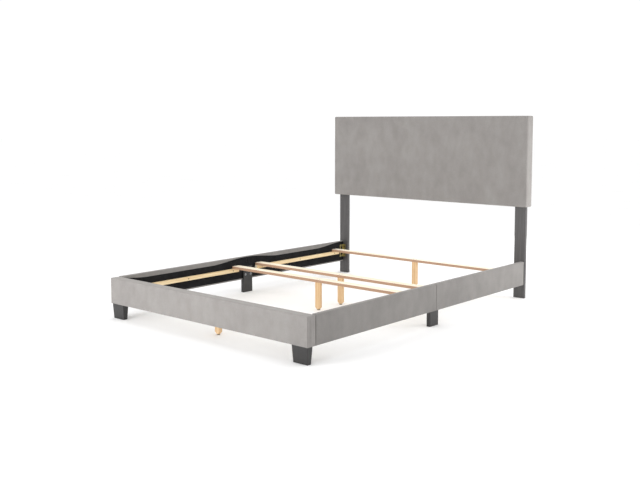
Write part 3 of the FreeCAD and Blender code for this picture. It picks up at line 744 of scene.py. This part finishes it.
def pleat(cover, low, high):
    """Soft upright ripples on the two end faces."""
    height = high.z - low.z
    for vert in cover.data.vertices:
        near_end = abs(vert.co.x) - (high.x - PLEAT_ZONE)
        if near_end <= 0:
            continue
        rise = (vert.co.z - low.z) / height
        fade = max(0.0, math.sin(math.pi * rise)) ** 0.5 * min(1, near_end / PLEAT_FADE)
        wave = math.sin(2 * math.pi * (vert.co.y - low.y) / PLEAT_WIDTH + 1.2 * rise)
        across = (vert.co.y - low.y - FOLD_PLACE - FOLD_SWAY * math.sin(4 * rise)) / FOLD_WIDTH
        depth = PLEAT_DEPTH * (0.5 + 0.5 * wave) + FOLD_DEPTH * math.exp(-across * across)
        vert.co.x -= math.copysign(1, vert.co.x) * fade * min(depth, DEEPEST_FOLD)


def footboard_cover():
    """Fabric over the front, the top, the underside and the ends of the footboard."""
    low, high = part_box("footboard_cover")
    start_low = low + Vector((FOOTBOARD_SWELL, FOOTBOARD_SWELL, 0))
    start_high = high - Vector((FOOTBOARD_SWELL, 0, FOOTBOARD_SWELL))
    left, right = low.x + FOOTBOARD_SIDE_RETURN, high.x - FOOTBOARD_SIDE_RETURN
    open_low = Vector((left, high.y - FOOTBOARD_CUT, low.z + FOOTBOARD_RETURN_BOTTOM))
    open_high = Vector((right, high.y + FOOTBOARD_CUT, high.z - FOOTBOARD_RETURN_TOP))
    fold_lines = [low.y + FOLD_START + FOLD_SPACING * k for k in range(FOLD_LINES)]
    stops = ([open_low.x, open_high.x], fold_lines, [open_low.z, open_high.z])
    shape = rounded_box(start_low, start_high, FOOTBOARD_ROUNDING, FOOTBOARD_STEP, stops)
    cut_away(shape, open_low, open_high)
    cover = piece_from(shape, "footboard_padded_cover", VELVET)
    moved = swell(cover, lambda place: place.y > high.y - FOOTBOARD_STAPLED, FOOTBOARD_SWELL)
    pleat(cover, low, high)
    print("footboard cover moved up to", round(moved / MM, 1), "mm")
    return cover


footboard = footboard_cover()
finish_cover(footboard, FABRIC)
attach(footboard, "root")
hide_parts("footboard_cover", "footboard_foam")

# %% [markdown]
# ## The side rails' padded covers
#
# A side rail comes in two halves, so that it fits its carton, and each half has its own cover: foam-backed
# fabric on the outer face, turned over the top and the underside and stapled on the inner face. The ends
# are folded in, and where two ends meet the rounded folds leave the thin upright seam that a bed of this
# kind shows half-way along. A pocket is left open for the middle leg.

# %% Rail covers
RAIL_SWELL = 2 * MM
RAIL_STEP = 10 * MM
RAIL_RETURN_TOP = 32 * MM
RAIL_RETURN_BOTTOM = 14 * MM
RAIL_END_RETURN = 22 * MM
RAIL_ROUNDING = (6 * MM, 2.5 * MM, 5 * MM)
RAIL_CUT = 3 * MM            # how far the cut for the opening reaches through the inner face
LEG_POCKET = 6 * MM          # how far the middle leg's pocket reaches past the leg
RAIL_STAPLED = 9 * MM        # the fabric is held this near the inner face
RAIL_FABRIC = FABRIC * 0.8   # pulled thinner than on the headboard


def rail_cover(side, half):
    """One half of one rail: side is left or right, half is front or rear."""
    node = f"rail_cover_{side}_{half}"
    low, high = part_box(node)
    outwards = 1 if side == "right" else -1
    start_low, start_high = low.copy(), high.copy()
    if side == "right":
        start_high.x -= RAIL_SWELL
    else:
        start_low.x += RAIL_SWELL
    leg_low, leg_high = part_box(f"mid_leg_{side}")
    inner = low.x if side == "right" else high.x
    open_low = Vector((inner - RAIL_CUT, low.y + RAIL_END_RETURN, low.z + RAIL_RETURN_BOTTOM))
    open_high = Vector((inner + RAIL_CUT, high.y - RAIL_END_RETURN, high.z - RAIL_RETURN_TOP))
    stops = ([leg_low.x, leg_high.x], [open_low.y, open_high.y, leg_low.y, leg_high.y],
             [open_low.z, open_high.z, leg_high.z])
    shape = rounded_box(start_low, start_high, RAIL_ROUNDING, RAIL_STEP, stops)
    cut_away(shape, open_low, open_high)
    cut_away(shape, leg_low - Vector((LEG_POCKET, 0, 0)), leg_high)
    cover = piece_from(shape, f"rail_padded_cover_{side}_{half}", RAIL_VELVET_PAINTED_SHADE)

    def stapled(place):
        return outwards * (place.x - inner) < RAIL_STAPLED

    moved = swell(cover, stapled, RAIL_SWELL)
    print(cover.name, "moved up to", round(moved / MM, 1), "mm")
    finish_cover(cover, RAIL_FABRIC)
    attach(cover, "root")
    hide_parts(node)


RAIL_HALVES = [(side, half) for side in ("left", "right") for half in ("front", "rear")]
for side, half in RAIL_HALVES:
    rail_cover(side, half)

# %% [markdown]
# ## Lining sheets
#
# The black lining closes each padded piece on the side that nobody sees first. It is a thin sheet that is
# pulled flat and stapled over the raw edge of the fabric. On a side rail its upper edge isn't straight:
# the fitter folds it up to the rail's top at both ends, so the grey strip above it is widest in the
# middle. Each sheet is a grid whose rows follow that edge, with a notch for the middle leg.

# %% Sheet helper
SHEET_THICKNESS = 0.5 * MM
SLACK = 0.5 * MM


def sheet_from(name, columns, rows, place, outwards, keep=lambda column, row: True):
    """A thin sheet: place(column, row) gives each point, and keep says which cells stay."""
    shape = bmesh.new()
    points = [[shape.verts.new(place(column, row)) for column in columns] for row in rows]
    for r, (below, above) in enumerate(zip(points, points[1:])):
        for c in range(len(columns) - 1):
            if keep((columns[c] + columns[c + 1]) / 2, (rows[r] + rows[r + 1]) / 2):
                shape.faces.new((below[c], below[c + 1], above[c + 1], above[c]))
    bmesh.ops.delete(shape, geom=[v for v in shape.verts if not v.link_faces], context="VERTS")
    shape.normal_update()
    shape.faces.ensure_lookup_table()
    if shape.faces[0].normal.dot(outwards) < 0:
        bmesh.ops.reverse_faces(shape, faces=shape.faces)
    piece = piece_from(shape, name, LINING)
    solid = piece.modifiers.new("sheet thickness", "SOLIDIFY")
    solid.thickness = SHEET_THICKNESS
    solid.offset = -1
    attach(piece, "root")
    return piece


def evenly(stops, step):
    """Lines between the stops, about a step apart."""
    lines = []
    for start, end in zip(stops, stops[1:]):
        count = max(1, round((end - start) / step))
        lines += [start + (end - start) * k / count for k in range(count)]
    return lines + [stops[-1]]


def slack_at(place, size):
    """How far a stretched sheet stands off at a place: nothing to SLACK, in waves of that size."""
    return SLACK * (0.5 + 0.5 * noise.noise(Vector(place) / size))


staple_rows = []              # rows of (place, face direction), filled by each lining
print("sheet thickness, mm:", SHEET_THICKNESS / MM)

# %% [markdown]
# ## The side rails' linings
#
# A rail's lining runs behind the ledger, from the rail's lower edge nearly to its top, and comes down over
# the top of the middle leg in a tongue, with small gathers beside the joint. A flat shape that is cut out
# and bent would crease at the leg, so one rule gives each point its place: the rows follow the two edges,
# and smooth steps lift the sheet off the rail where it passes over the leg.

# %% Rail linings
LINING_STEP = 12 * MM
STRIP = 25 * MM              # fabric that shows above the lining, half-way along
TAPER = 310 * MM             # how far from an end the lining starts to rise
FLAT_END = 15 * MM           # at an inner end it reaches the top this far along
FOOT_LEAD = 110 * MM         # at the footboard it hasn't risen fully
LAP = 1.1 * MM               # how proud of the fabric it lies
PLEAT_REACH = 70 * MM        # gathers beside the middle joint
GATHER = 1.6 * MM
TOP_MARGIN = 2.4 * MM        # how far the lining's highest edge stays below the rail's top
GATHER_WIDTH = 15 * MM
GATHER_RISE = 20 * MM        # the gathers begin this far above the tongue
TONGUE_DROP = 20 * MM        # how far the lining comes down over the middle leg's top
TONGUE_RAMP = 12 * MM        # how gently it gets there
STAPLE_LOW = 0.12            # staples near the lower edge, as a share of the lower rows
STAPLE_HIGH = 1.75           # and near the upper edge
LOWER_EDGE_WANDER = 1.5 * MM
RAIL_SLACK_WAVE = 70 * MM


def smooth(share):
    """A share from 0 to 1 that starts and ends gently."""
    share = min(1, max(0, share))
    return share * share * (3 - 2 * share)


def rail_lining(side, half):
    """The sheet on the inner face of one half of a rail."""
    cad = f"rail_lining_{side}_{half}"
    low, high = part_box(cad)
    cover_low, cover_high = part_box(f"rail_cover_{side}_{half}")
    leg_low, leg_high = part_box(f"mid_leg_{side}")
    outwards = 1 if side == "right" else -1
    inner = cover_low.x if side == "right" else cover_high.x
    top_round = RAIL_ROUNDING[0]
    seam = high.y if half == "front" else low.y
    tongue = leg_high.z - TONGUE_DROP
    leg_face = leg_low.x if side == "right" else leg_high.x
    proud = abs(inner - leg_face)

    def top_edge(y):
        from_start, from_end = y - low.y, high.y - y
        lead = -FOOT_LEAD if half == "front" else FLAT_END
        strip = STRIP * smooth((from_start - lead) / TAPER) * smooth((from_end - FLAT_END) / TAPER)
        return cover_high.z - TOP_MARGIN - strip

    def bottom_edge(y):
        return low.z + LOWER_EDGE_WANDER * noise.noise(Vector((y * 6, side == "left", 0)))

    def place(y, share):
        if share <= 1:
            z = bottom_edge(y) + (tongue - bottom_edge(y)) * share
        else:
            z = tongue + (top_edge(y) - tongue) * (share - 1)
        over = max(0, z - (cover_high.z - top_round))
        bend = top_round - math.sqrt(max(0, top_round ** 2 - over ** 2))
        near = smooth(1 - abs(y - seam) / PLEAT_REACH) * smooth((z - tongue) / GATHER_RISE)
        gather = GATHER * near * (0.5 + 0.5 * math.cos(2 * math.pi * (y - seam) / GATHER_WIDTH))
        beside = max(0, leg_low.y - y, y - leg_high.y)
        lifted = smooth(1 - beside / TONGUE_RAMP) * smooth((leg_high.z - z) / TONGUE_RAMP + 1)
        tent = proud * lifted * (1 if share > 1 else 0)
        x = inner + outwards * (bend - LAP - tent - gather - slack_at((0, y, z), RAIL_SLACK_WAVE))
        return Vector((x, y, z))

    def keep(y, share):
        return share > 1 or not leg_low.y < y < leg_high.y

    ends = sorted({low.y, high.y, *[y for y in (leg_low.y, leg_high.y) if low.y < y < high.y]})
    shares = [k / 8 for k in range(9)] + [1 + k / 8 for k in range(1, 9)]
    columns = evenly(ends, LINING_STEP)
    staple_rows.append([(place(y, STAPLE_LOW), Vector((-outwards, 0, 0))) for y in columns[1:-1]])
    staple_rows.append([(place(y, STAPLE_HIGH), Vector((-outwards, 0, 0))) for y in columns[1:-1]])
    sheet = sheet_from(f"{cad}_sheet", columns, shares, place, Vector((-outwards, 0, 0)), keep)
    cut = sum((top_edge(y) - bottom_edge(y)) for y in columns) / len(columns) * (high.y - low.y)
    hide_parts(cad)


for side, half in RAIL_HALVES:
    rail_lining(side, half)

# %% [markdown]
# ## The headboard's and the footboard's linings
#
# These two sheets are plain rectangles. Each one laps over the raw edge of the fabric by a few millimetres,
# as it has to if no foam or board is to show. It could be a single flat face, but a stretched sheet is never
# quite flat, so it is a grid that stands off in slow waves of less than a millimetre.

# %% Headboard and footboard linings
PANEL_LAP = 4 * MM           # how far the sheet covers the fabric's raw edge
STAPLE_INSET = 7 * MM        # staples stand this far inside the sheet's edge
PANEL_STAND_OFF = 0.3 * MM
PANEL_SLACK_WAVE = 120 * MM


def panel_lining(cad, step):
    """A flat sheet on a face that looks towards +Y, over the opening of a cover."""
    low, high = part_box(cad)
    low, high = low - Vector((PANEL_LAP, 0, PANEL_LAP)), high + Vector((PANEL_LAP, 0, PANEL_LAP))

    def place(x, z):
        return Vector((x, high.y + PANEL_STAND_OFF + slack_at((x, 0, z), PANEL_SLACK_WAVE), z))

    columns, rows = evenly([low.x, high.x], step), evenly([low.z, high.z], step)
    sheet = sheet_from(f"{cad}_sheet", columns, rows, place, Vector((0, 1, 0)))
    left, right = low.x + STAPLE_INSET, high.x - STAPLE_INSET
    bottom, top = low.z + STAPLE_INSET, high.z - STAPLE_INSET
    for x_ends, z_ends in (((left, right), (bottom, bottom)), ((left, right), (top, top)),
                           ((left, left), (bottom, top)), ((right, right), (bottom, top))):
        corners = [place(x, z) for x, z in zip(x_ends, z_ends)]
        staple_rows.append([(corner, Vector((0, 1, 0))) for corner in corners])
    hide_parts(cad)


panel_lining("headboard_back_lining", 22 * MM)
panel_lining("footboard_lining", 14 * MM)

# %% [markdown]
# ## Eased edges
#
# Sawn and planed wood never has a knife edge: the long edges are eased by a millimetre or two, and that
# thin bright line is what makes a bar look like wood and not like a box. The engineering mesh is loose
# triangles, so a copy of it is merged, its flat faces are joined, and only the long sharp edges are
# bevelled. Screw holes and bores keep their rims.

# %% Eased wood
SHARP = math.radians(25)


def merged_copy(node):
    """An editable copy of a piece of the frame, with whole flat faces."""
    shape = bmesh.new()
    shape.from_mesh(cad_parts[node].data)
    bmesh.ops.remove_doubles(shape, verts=shape.verts, dist=1e-6)
    bmesh.ops.dissolve_limit(shape, angle_limit=math.radians(1), verts=shape.verts, edges=shape.edges)
    return shape


def eased(node, finish, width, shortest):
    """A wooden piece with its long edges eased by that width."""
    shape = merged_copy(node)
    edges = []
    for edge in shape.edges:
        if len(edge.link_faces) == 2 and edge.calc_length() > shortest and edge.calc_face_angle() > SHARP:
            edges.append(edge)
    bmesh.ops.bevel(shape, geom=edges, offset=width, segments=2, profile=0.5, affect="EDGES",
                    clamp_overlap=True)
    piece = piece_from(shape, f"{node}_eased", finish)
    flat = [False] * len(piece.data.polygons)
    piece.data.polygons.foreach_set("use_smooth", flat)
    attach(piece, "root")
    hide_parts(node)
    return piece


SHORTEST_EDGE = 9 * MM
SIDES = ("left", "right")
HEADBOARD_BARS = ("top_rail", "bottom_rail", "stile_left", "stile_right")
FOOTBOARD_BARS = ("top_batten", "bottom_batten", "end_block_left", "end_block_right")
# the pieces, their finish, and how wide their edges are eased in millimetres
WOODEN = [
    ([f"slat_{k}" for k in range(1, 5)], SLAT, 1.5),
    ([f"slat_leg_{k}" for k in range(1, 5)], PINE_Z, 1.5),
    ([f"ledger_{side}_{half}" for side, half in RAIL_HALVES], PINE_Y, 1.5),
    ([f"headboard_post_{side}" for side in SIDES], STAINED_POST, 2.5),
    ([f"mid_leg_{side}" for side in SIDES], STAINED_LEG_PAINTED_SHADE, 2),
    ([f"front_foot_{side}" for side in SIDES], STAINED_LEG_PAINTED_SHADE, 2.5),
    ([f"rail_core_{side}_{half}" for side, half in RAIL_HALVES], SAWN, 4),
    ([f"headboard_{bar}" for bar in HEADBOARD_BARS], SAWN, 3),
    ([f"footboard_{bar}" for bar in FOOTBOARD_BARS], SAWN, 3),
    ([f"{board}_face_board" for board in ("headboard", "footboard")], PLYWOOD, 2),
]
woods = [eased(node, finish, width * MM, SHORTEST_EDGE) for nodes, finish, width in WOODEN for node in nodes]
print("eased", len(woods), "wooden pieces")

# %% [markdown]
# ## Growing pieces with Geometry Nodes
#
# Screws, bolts and staples repeat, so each kind is drawn once and a node tree puts it in every place. The
# tree takes a mesh whose points are the places, with the direction of each as an attribute, and its sizes
# are named inputs. A modifier runs it, and the result is copied to a plain mesh with no instances left.


# %% Tree helpers
def new_tree(name, sockets):
    """An empty geometry tree with named inputs: the tree, and the sockets that feed it."""
    tree = bpy.data.node_groups.new(name, "GeometryNodeTree")
    for title, kind in sockets:
        tree.interface.new_socket(title, in_out="INPUT", socket_type=f"NodeSocket{kind}")
    tree.interface.new_socket("Pieces", in_out="OUTPUT", socket_type="NodeSocketGeometry")
    return tree, put(tree, "NodeGroupInput").outputs


def outwards_turn(tree):
    """The rotation that turns Z to the direction which each point carries."""
    way = put(tree, "GeometryNodeInputNamedAttribute", {"Name": "outwards"}, data_type="FLOAT_VECTOR")
    return put(tree, "FunctionNodeAlignRotationToVector", {"Vector": way.outputs[0]}, axis="Z").outputs[0]


def end_tree(tree, parts, finish):
    """Joins the parts, makes them real and gives them their finish."""
    joined = put(tree, "GeometryNodeJoinGeometry")
    for part in parts:
        tree.links.new(part, joined.inputs[0])
    real = put(tree, "GeometryNodeRealizeInstances", {0: joined.outputs[0]})
    dressed = put(tree, "GeometryNodeSetMaterial", {"Geometry": real.outputs[0], "Material": finish})
    put(tree, "NodeGroupOutput", {0: dressed.outputs[0]})


def points_mesh(name, places, directions, edges=(), **numbers):
    """A mesh of points with their directions, and any other number that each point carries."""
    mesh = bpy.data.meshes.new(name)
    mesh.from_pydata([tuple(place) for place in places], list(edges), [])
    outwards = mesh.attributes.new("outwards", "FLOAT_VECTOR", "POINT")
    outwards.data.foreach_set("vector", np.array(directions, dtype=float).ravel())
    for title, values in numbers.items():
        mesh.attributes.new(title, "FLOAT", "POINT").data.foreach_set("value", values)
    return mesh


def grown(name, base, tree, settings):
    """Runs a tree on a base mesh, and gives the result as a plain mesh piece."""
    holder = bpy.data.objects.new(f"{name}_places", base)
    bpy.context.collection.objects.link(holder)
    modifier = holder.modifiers.new("grow", "NODES")
    modifier.node_group = tree
    for item in tree.interface.items_tree:
        if item.item_type == "SOCKET" and item.name in settings:
            modifier[item.identifier] = settings[item.name]
    graph = bpy.context.evaluated_depsgraph_get()
    mesh = bpy.data.meshes.new_from_object(holder.evaluated_get(graph), depsgraph=graph)
    holder.modifiers.remove(modifier)
    bpy.data.objects.remove(holder)
    piece = bpy.data.objects.new(name, mesh)
    bpy.context.collection.objects.link(piece)
    print(name, "has", len(mesh.polygons), "faces")
    return piece


# %% [markdown]
# ## Screws and bolts
#
# Countersunk screws hold the ledgers, slats and centre legs, pan-head screws hold the corner brackets, and
# flange bolts go through the middle legs and the posts. The frame already has each one as a plain solid
# in its hole, so its place, direction and length are read from there, and only its looks are new: a
# cross recess or a chamfered hexagon, and a thread, which is a fine spiral swept by a small triangle.

# %% Reading the fixings
HEAD_ZONE = 1.0 * MM         # the end of a fixing that is compared with its other end


def loose_solids(node):
    """The separate solids of a piece of the frame, each as an array of points."""
    shape = bmesh.new()
    shape.from_mesh(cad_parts[node].data)
    bmesh.ops.remove_doubles(shape, verts=shape.verts, dist=1e-6)
    waiting = set(shape.verts)
    solids = []
    while waiting:
        stack = [waiting.pop()]
        solid = []
        while stack:
            vert = stack.pop()
            solid.append(tuple(vert.co))
            near = {edge.other_vert(vert) for edge in vert.link_edges} & waiting
            waiting -= near
            stack.extend(near)
        solids.append(np.array(sorted(solid)))
    shape.free()
    return sorted(solids, key=lambda points: tuple(points[0]))


def fixings_in(node, head_height):
    """The seat, the direction and the length below the seat of each screw or bolt."""
    seats, directions, lengths = [], [], []
    for points in loose_solids(node):
        low, high = points.min(axis=0), points.max(axis=0)
        axis = int(np.argmax(high - low))
        middle = (low + high) / 2
        apart = np.delete(points - middle, axis, axis=1)
        radius = np.linalg.norm(apart, axis=1)
        widest_low = radius[points[:, axis] < low[axis] + HEAD_ZONE].max()
        widest_high = radius[points[:, axis] > high[axis] - HEAD_ZONE].max()
        sign = 1 if widest_high > widest_low else -1
        direction = np.zeros(3)
        direction[axis] = sign
        length = (high - low)[axis]
        seats.append(middle + direction * (length / 2 - head_height))
        directions.append(direction)
        lengths.append(length - head_height)
    return seats, directions, lengths


print("fixings read with heads within", HEAD_ZONE / MM, "mm of an end")


# %% [markdown]
# ## Screw and bolt heads
#
# A head is a stack of rings, each with its radius and its height, and a hexagon is a ring whose reach
# follows six flats. A recess is cut into the top: a cross for a driver, or a shallow dimple on a bolt. A
# plain cone with a cross drawn on it would be lighter, but its recess would catch no shadow.

# %% Heads
HEAD_SIDES = 24
RECESS_TAPER = 0.7           # how wide the bottom of a recess is, as a share of its mouth


def ring(shape, radius, height, flats=0):
    """A closed ring of vertices round Z. With flats it is a polygon with that radius at its corners."""
    verts = []
    for k in range(HEAD_SIDES):
        angle = 2 * math.pi * k / HEAD_SIDES
        reach = radius
        if flats:
            half = math.pi / flats
            reach = radius * math.cos(half) / math.cos(angle % (2 * half) - half)
        verts.append(shape.verts.new((reach * math.cos(angle), reach * math.sin(angle), height)))
    return verts


def bridge(shape, lower, upper):
    """Quads between two rings with the same number of vertices."""
    for k in range(len(lower)):
        after = (k + 1) % len(lower)
        shape.faces.new((lower[k], lower[after], upper[after], upper[k]))


def cross(arm, width):
    """The outline of a cross recess."""
    half = width / 2
    corner = [(arm, -half), (arm, half), (half, half)]
    outline = []
    for turn in range(4):
        cosine, sine = (1, 0, -1, 0)[turn], (0, 1, 0, -1)[turn]
        outline += [(x * cosine - y * sine, x * sine + y * cosine) for x, y in corner]
    return outline


def dish(radius, sides=12):
    """The outline of a round dimple."""
    return [(radius * math.cos(2 * math.pi * k / sides), radius * math.sin(2 * math.pi * k / sides))
            for k in range(sides)]


def fixing_head(name, outline, recess, depth):
    """A head from rings of (radius, height, flats), underside first, with a recess in its top."""
    shape = bmesh.new()
    rings = [ring(shape, radius * MM, height * MM, flats) for radius, height, flats in outline]
    shape.faces.new(rings[0][::-1])
    for lower, upper in zip(rings, rings[1:]):
        bridge(shape, lower, upper)
    top = outline[-1][1] * MM
    mouth = [shape.verts.new((x * MM, y * MM, top)) for x, y in recess]
    taper = RECESS_TAPER
    bottom = [shape.verts.new((x * taper * MM, y * taper * MM, top - depth * MM)) for x, y in recess]
    bridge(shape, mouth, bottom)
    shape.faces.new(bottom)
    rim = [shape.edges.get((loop[k - 1], loop[k])) for loop in (rings[-1], mouth) for k in range(len(loop))]
    bmesh.ops.triangle_fill(shape, edges=rim, use_beauty=True)
    bmesh.ops.recalc_face_normals(shape, faces=shape.faces)
    mesh = bpy.data.meshes.new(name)
    shape.to_mesh(mesh)
    shape.free()
    head = bpy.data.objects.new(name, mesh)
    bpy.context.collection.objects.link(head)
    return head


# outlines in millimetres, to the sizes that the frame's holes and seats are made for
COUNTERSUNK = ([(2, 0, 0), (3.9, 2.3, 0), (4, 2.5, 0)], cross(2.2, 0.9), 1.5)
PAN = ([(4, 0, 0), (4.2, 0.4, 0), (4.1, 1.2, 0), (3.5, 2.0, 0), (2.6, 2.4, 0)], cross(2.1, 0.9), 1.4)
HEXAGON = ([(9, 0, 0), (9, 0.7, 0), (7.4, 1.6, 0), (7, 1.6, 6), (7, 4.5, 6), (5.8, 5, 0)], dish(4), 0.4)
print("a cross recess has", len(cross(2, 1)), "corners")


# %% [markdown]
# ## Putting the fixings in their places
#
# One tree serves the wood screws, the bracket screws and the bolts. It puts the head on each point and hangs
# a shank below it: a cylinder, with a spiral swept by a small triangle for the thread. Each fixing's own
# length stretches its shank, so screws of two lengths can share a tree.

# %% Fixings on their places
THREAD_SIZE = 0.28           # the radius of the thread's triangle, as a share of its pitch


def fixing_tree():
    """A head and a threaded shank on each point, turned to its direction."""
    tree, given = new_tree("fixings", [("Places", "Geometry"), ("Head", "Object"), ("Shank Radius", "Float"),
                                       ("Shank Length", "Float"), ("Pitch", "Float"), ("Finish", "Material")])
    turn = outwards_turn(tree)
    head = put(tree, "GeometryNodeObjectInfo", {"Object": given["Head"]})
    heads = put(tree, "GeometryNodeInstanceOnPoints",
                {"Points": given["Places"], "Instance": head.outputs["Geometry"], "Rotation": turn})
    # the shank hangs below the seat, and its thread goes once round for each pitch
    length, radius, pitch = given["Shank Length"], given["Shank Radius"], given["Pitch"]
    core = put(tree, "GeometryNodeMeshCylinder", {"Vertices": 12, "Radius": radius, "Depth": length})
    half = put(tree, "ShaderNodeMath", {0: length, 1: -0.5}, operation="MULTIPLY")
    middle = put(tree, "ShaderNodeCombineXYZ", {"Z": half.outputs[0]}).outputs[0]
    core = put(tree, "GeometryNodeTransform", {"Geometry": core.outputs["Mesh"], "Translation": middle})
    turns = put(tree, "ShaderNodeMath", {0: length, 1: pitch}, operation="DIVIDE").outputs[0]
    winding = {"Resolution": 12, "Rotations": turns, "Start Radius": radius, "End Radius": radius}
    spiral = put(tree, "GeometryNodeCurveSpiral", {**winding, "Height": length})
    crest = put(tree, "ShaderNodeMath", {0: pitch, 1: THREAD_SIZE}, operation="MULTIPLY").outputs[0]
    crest = put(tree, "GeometryNodeCurvePrimitiveCircle", {"Resolution": 3, "Radius": crest})
    thread = put(tree, "GeometryNodeCurveToMesh",
                 {"Curve": spiral.outputs[0], "Profile Curve": crest.outputs[0], "Fill Caps": True})
    whole = put(tree, "ShaderNodeMath", {0: length, 1: -1.0}, operation="MULTIPLY")
    lower = put(tree, "ShaderNodeCombineXYZ", {"Z": whole.outputs[0]}).outputs[0]
    thread = put(tree, "GeometryNodeTransform", {"Geometry": thread.outputs[0], "Translation": lower})
    shank = put(tree, "GeometryNodeJoinGeometry")
    tree.links.new(core.outputs[0], shank.inputs[0])
    tree.links.new(thread.outputs[0], shank.inputs[0])
    reach = put(tree, "GeometryNodeInputNamedAttribute", {"Name": "reach"}, data_type="FLOAT").outputs[0]
    ratio = put(tree, "ShaderNodeMath", {0: reach, 1: length}, operation="DIVIDE").outputs[0]
    stretch = put(tree, "ShaderNodeCombineXYZ", {"X": 1.0, "Y": 1.0, "Z": ratio}).outputs[0]
    placed = {"Points": given["Places"], "Instance": shank.outputs[0], "Rotation": turn, "Scale": stretch}
    shanks = put(tree, "GeometryNodeInstanceOnPoints", placed)
    end_tree(tree, [heads.outputs[0], shanks.outputs[0]], given["Finish"])
    return tree


FIXING_TREE = fixing_tree()


def fixings(node, head, shank_radius, pitch, finish):
    """All the fixings of one node of the frame, in one piece."""
    outline, recess, depth = head
    pattern = fixing_head(f"{node}_head", outline, recess, depth)
    seats, directions, lengths = fixings_in(node, outline[-1][1] * MM)
    places = points_mesh(f"{node}_places", seats, directions, reach=lengths)
    settings = {"Head": pattern, "Shank Radius": shank_radius * MM, "Shank Length": float(np.mean(lengths)),
                "Pitch": pitch * MM, "Finish": finish}
    piece = grown(f"{node}_threaded", places, FIXING_TREE, settings)
    bpy.data.objects.remove(pattern)
    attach(piece, "root")
    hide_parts(node)
    print(node, "counted:", len(seats))


fixings("wood_screws", COUNTERSUNK, 1.7, 2.2, DARK_STEEL)
fixings("bracket_screws", PAN, 1.95, 2.2, DARK_STEEL)
fixings("frame_bolts", HEXAGON, 3.7, 1.25, BRIGHT_ZINC)

# %% [markdown]
# ## Staples
#
# The linings are held by wire staples, one every few centimetres, along their edges. A staple is a short
# wire with two bent legs, so the tree bends a line of four points, rounds its corners and sweeps a small
# circle along it. The crown lies along the edge and the legs go in behind it.

# %% Staples along the linings
STAPLE_PITCH = 45 * MM
STAPLE_CROWN = 10 * MM
STAPLE_LEG = 5 * MM
STAPLE_WIRE = 0.9 * MM


def staple_tree():
    """A staple at every pitch along the edges of a mesh."""
    tree, given = new_tree("staples", [("Edges", "Geometry"), ("Pitch", "Float"), ("Crown", "Float"),
                                       ("Leg", "Float"), ("Wire", "Float"), ("Finish", "Material")])
    # points 0 to 3 of the wire: foot, shoulder, shoulder, foot
    index = put(tree, "GeometryNodeInputIndex").outputs[0]
    order = put(tree, "ShaderNodeMath", {0: index, 1: 1.5}, operation="SUBTRACT").outputs[0]
    sign = put(tree, "ShaderNodeMath", {0: order}, operation="SIGN").outputs[0]
    half = put(tree, "ShaderNodeMath", {0: given["Crown"], 1: 0.5}, operation="MULTIPLY").outputs[0]
    side = put(tree, "ShaderNodeMath", {0: sign, 1: half}, operation="MULTIPLY").outputs[0]
    apart = put(tree, "ShaderNodeMath", {0: order}, operation="ABSOLUTE").outputs[0]
    is_foot = put(tree, "ShaderNodeMath", {0: apart, 1: 1.0}, operation="GREATER_THAN").outputs[0]
    down = put(tree, "ShaderNodeMath", {0: given["Leg"], 1: -1.0}, operation="MULTIPLY").outputs[0]
    drop = put(tree, "ShaderNodeMath", {0: is_foot, 1: down}, operation="MULTIPLY").outputs[0]
    line = put(tree, "GeometryNodeMeshLine", {"Count": 4})
    bent = put(tree, "ShaderNodeCombineXYZ", {"X": side, "Z": drop})
    line = put(tree, "GeometryNodeSetPosition", {"Geometry": line.outputs[0], "Position": bent.outputs[0]})
    wire = put(tree, "GeometryNodeMeshToCurve", {"Mesh": line.outputs[0]})
    bend = {"Curve": wire.outputs[0], "Count": 2, "Radius": given["Wire"]}
    wire = put(tree, "GeometryNodeFilletCurve", bend, mode="POLY")
    radius = put(tree, "ShaderNodeMath", {0: given["Wire"], 1: 0.5}, operation="MULTIPLY").outputs[0]
    section = put(tree, "GeometryNodeCurvePrimitiveCircle", {"Resolution": 6, "Radius": radius})
    staple = put(tree, "GeometryNodeCurveToMesh",
                 {"Curve": wire.outputs[0], "Profile Curve": section.outputs[0], "Fill Caps": True})
    rows = put(tree, "GeometryNodeMeshToCurve", {"Mesh": given["Edges"]})
    spaced = {"Curve": rows.outputs[0], "Length": given["Pitch"]}
    rows = put(tree, "GeometryNodeResampleCurve", spaced, mode="LENGTH")
    along = put(tree, "GeometryNodeInputTangent").outputs[0]
    turn = put(tree, "FunctionNodeAlignRotationToVector", {"Rotation": outwards_turn(tree), "Vector": along},
               axis="X", pivot_axis="Z").outputs[0]
    placed = put(tree, "GeometryNodeInstanceOnPoints",
                 {"Points": rows.outputs[0], "Instance": staple.outputs[0], "Rotation": turn})
    end_tree(tree, [placed.outputs[0]], given["Finish"])
    return tree


def staples():
    """Staples along every row that the linings left."""
    places, directions, edges = [], [], []
    for row in staple_rows:
        first = len(places)
        places += [place + direction * STAPLE_WIRE / 3 for place, direction in row]
        directions += [direction for _, direction in row]
        edges += [(first + k, first + k + 1) for k in range(len(row) - 1)]
    base = points_mesh("staple_rows", places, directions, edges)
    settings = {"Pitch": STAPLE_PITCH, "Crown": STAPLE_CROWN, "Leg": STAPLE_LEG, "Wire": STAPLE_WIRE,
                "Finish": DARK_STEEL}
    piece = grown("lining_staples", base, staple_tree(), settings)
    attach(piece, "root")


staples()
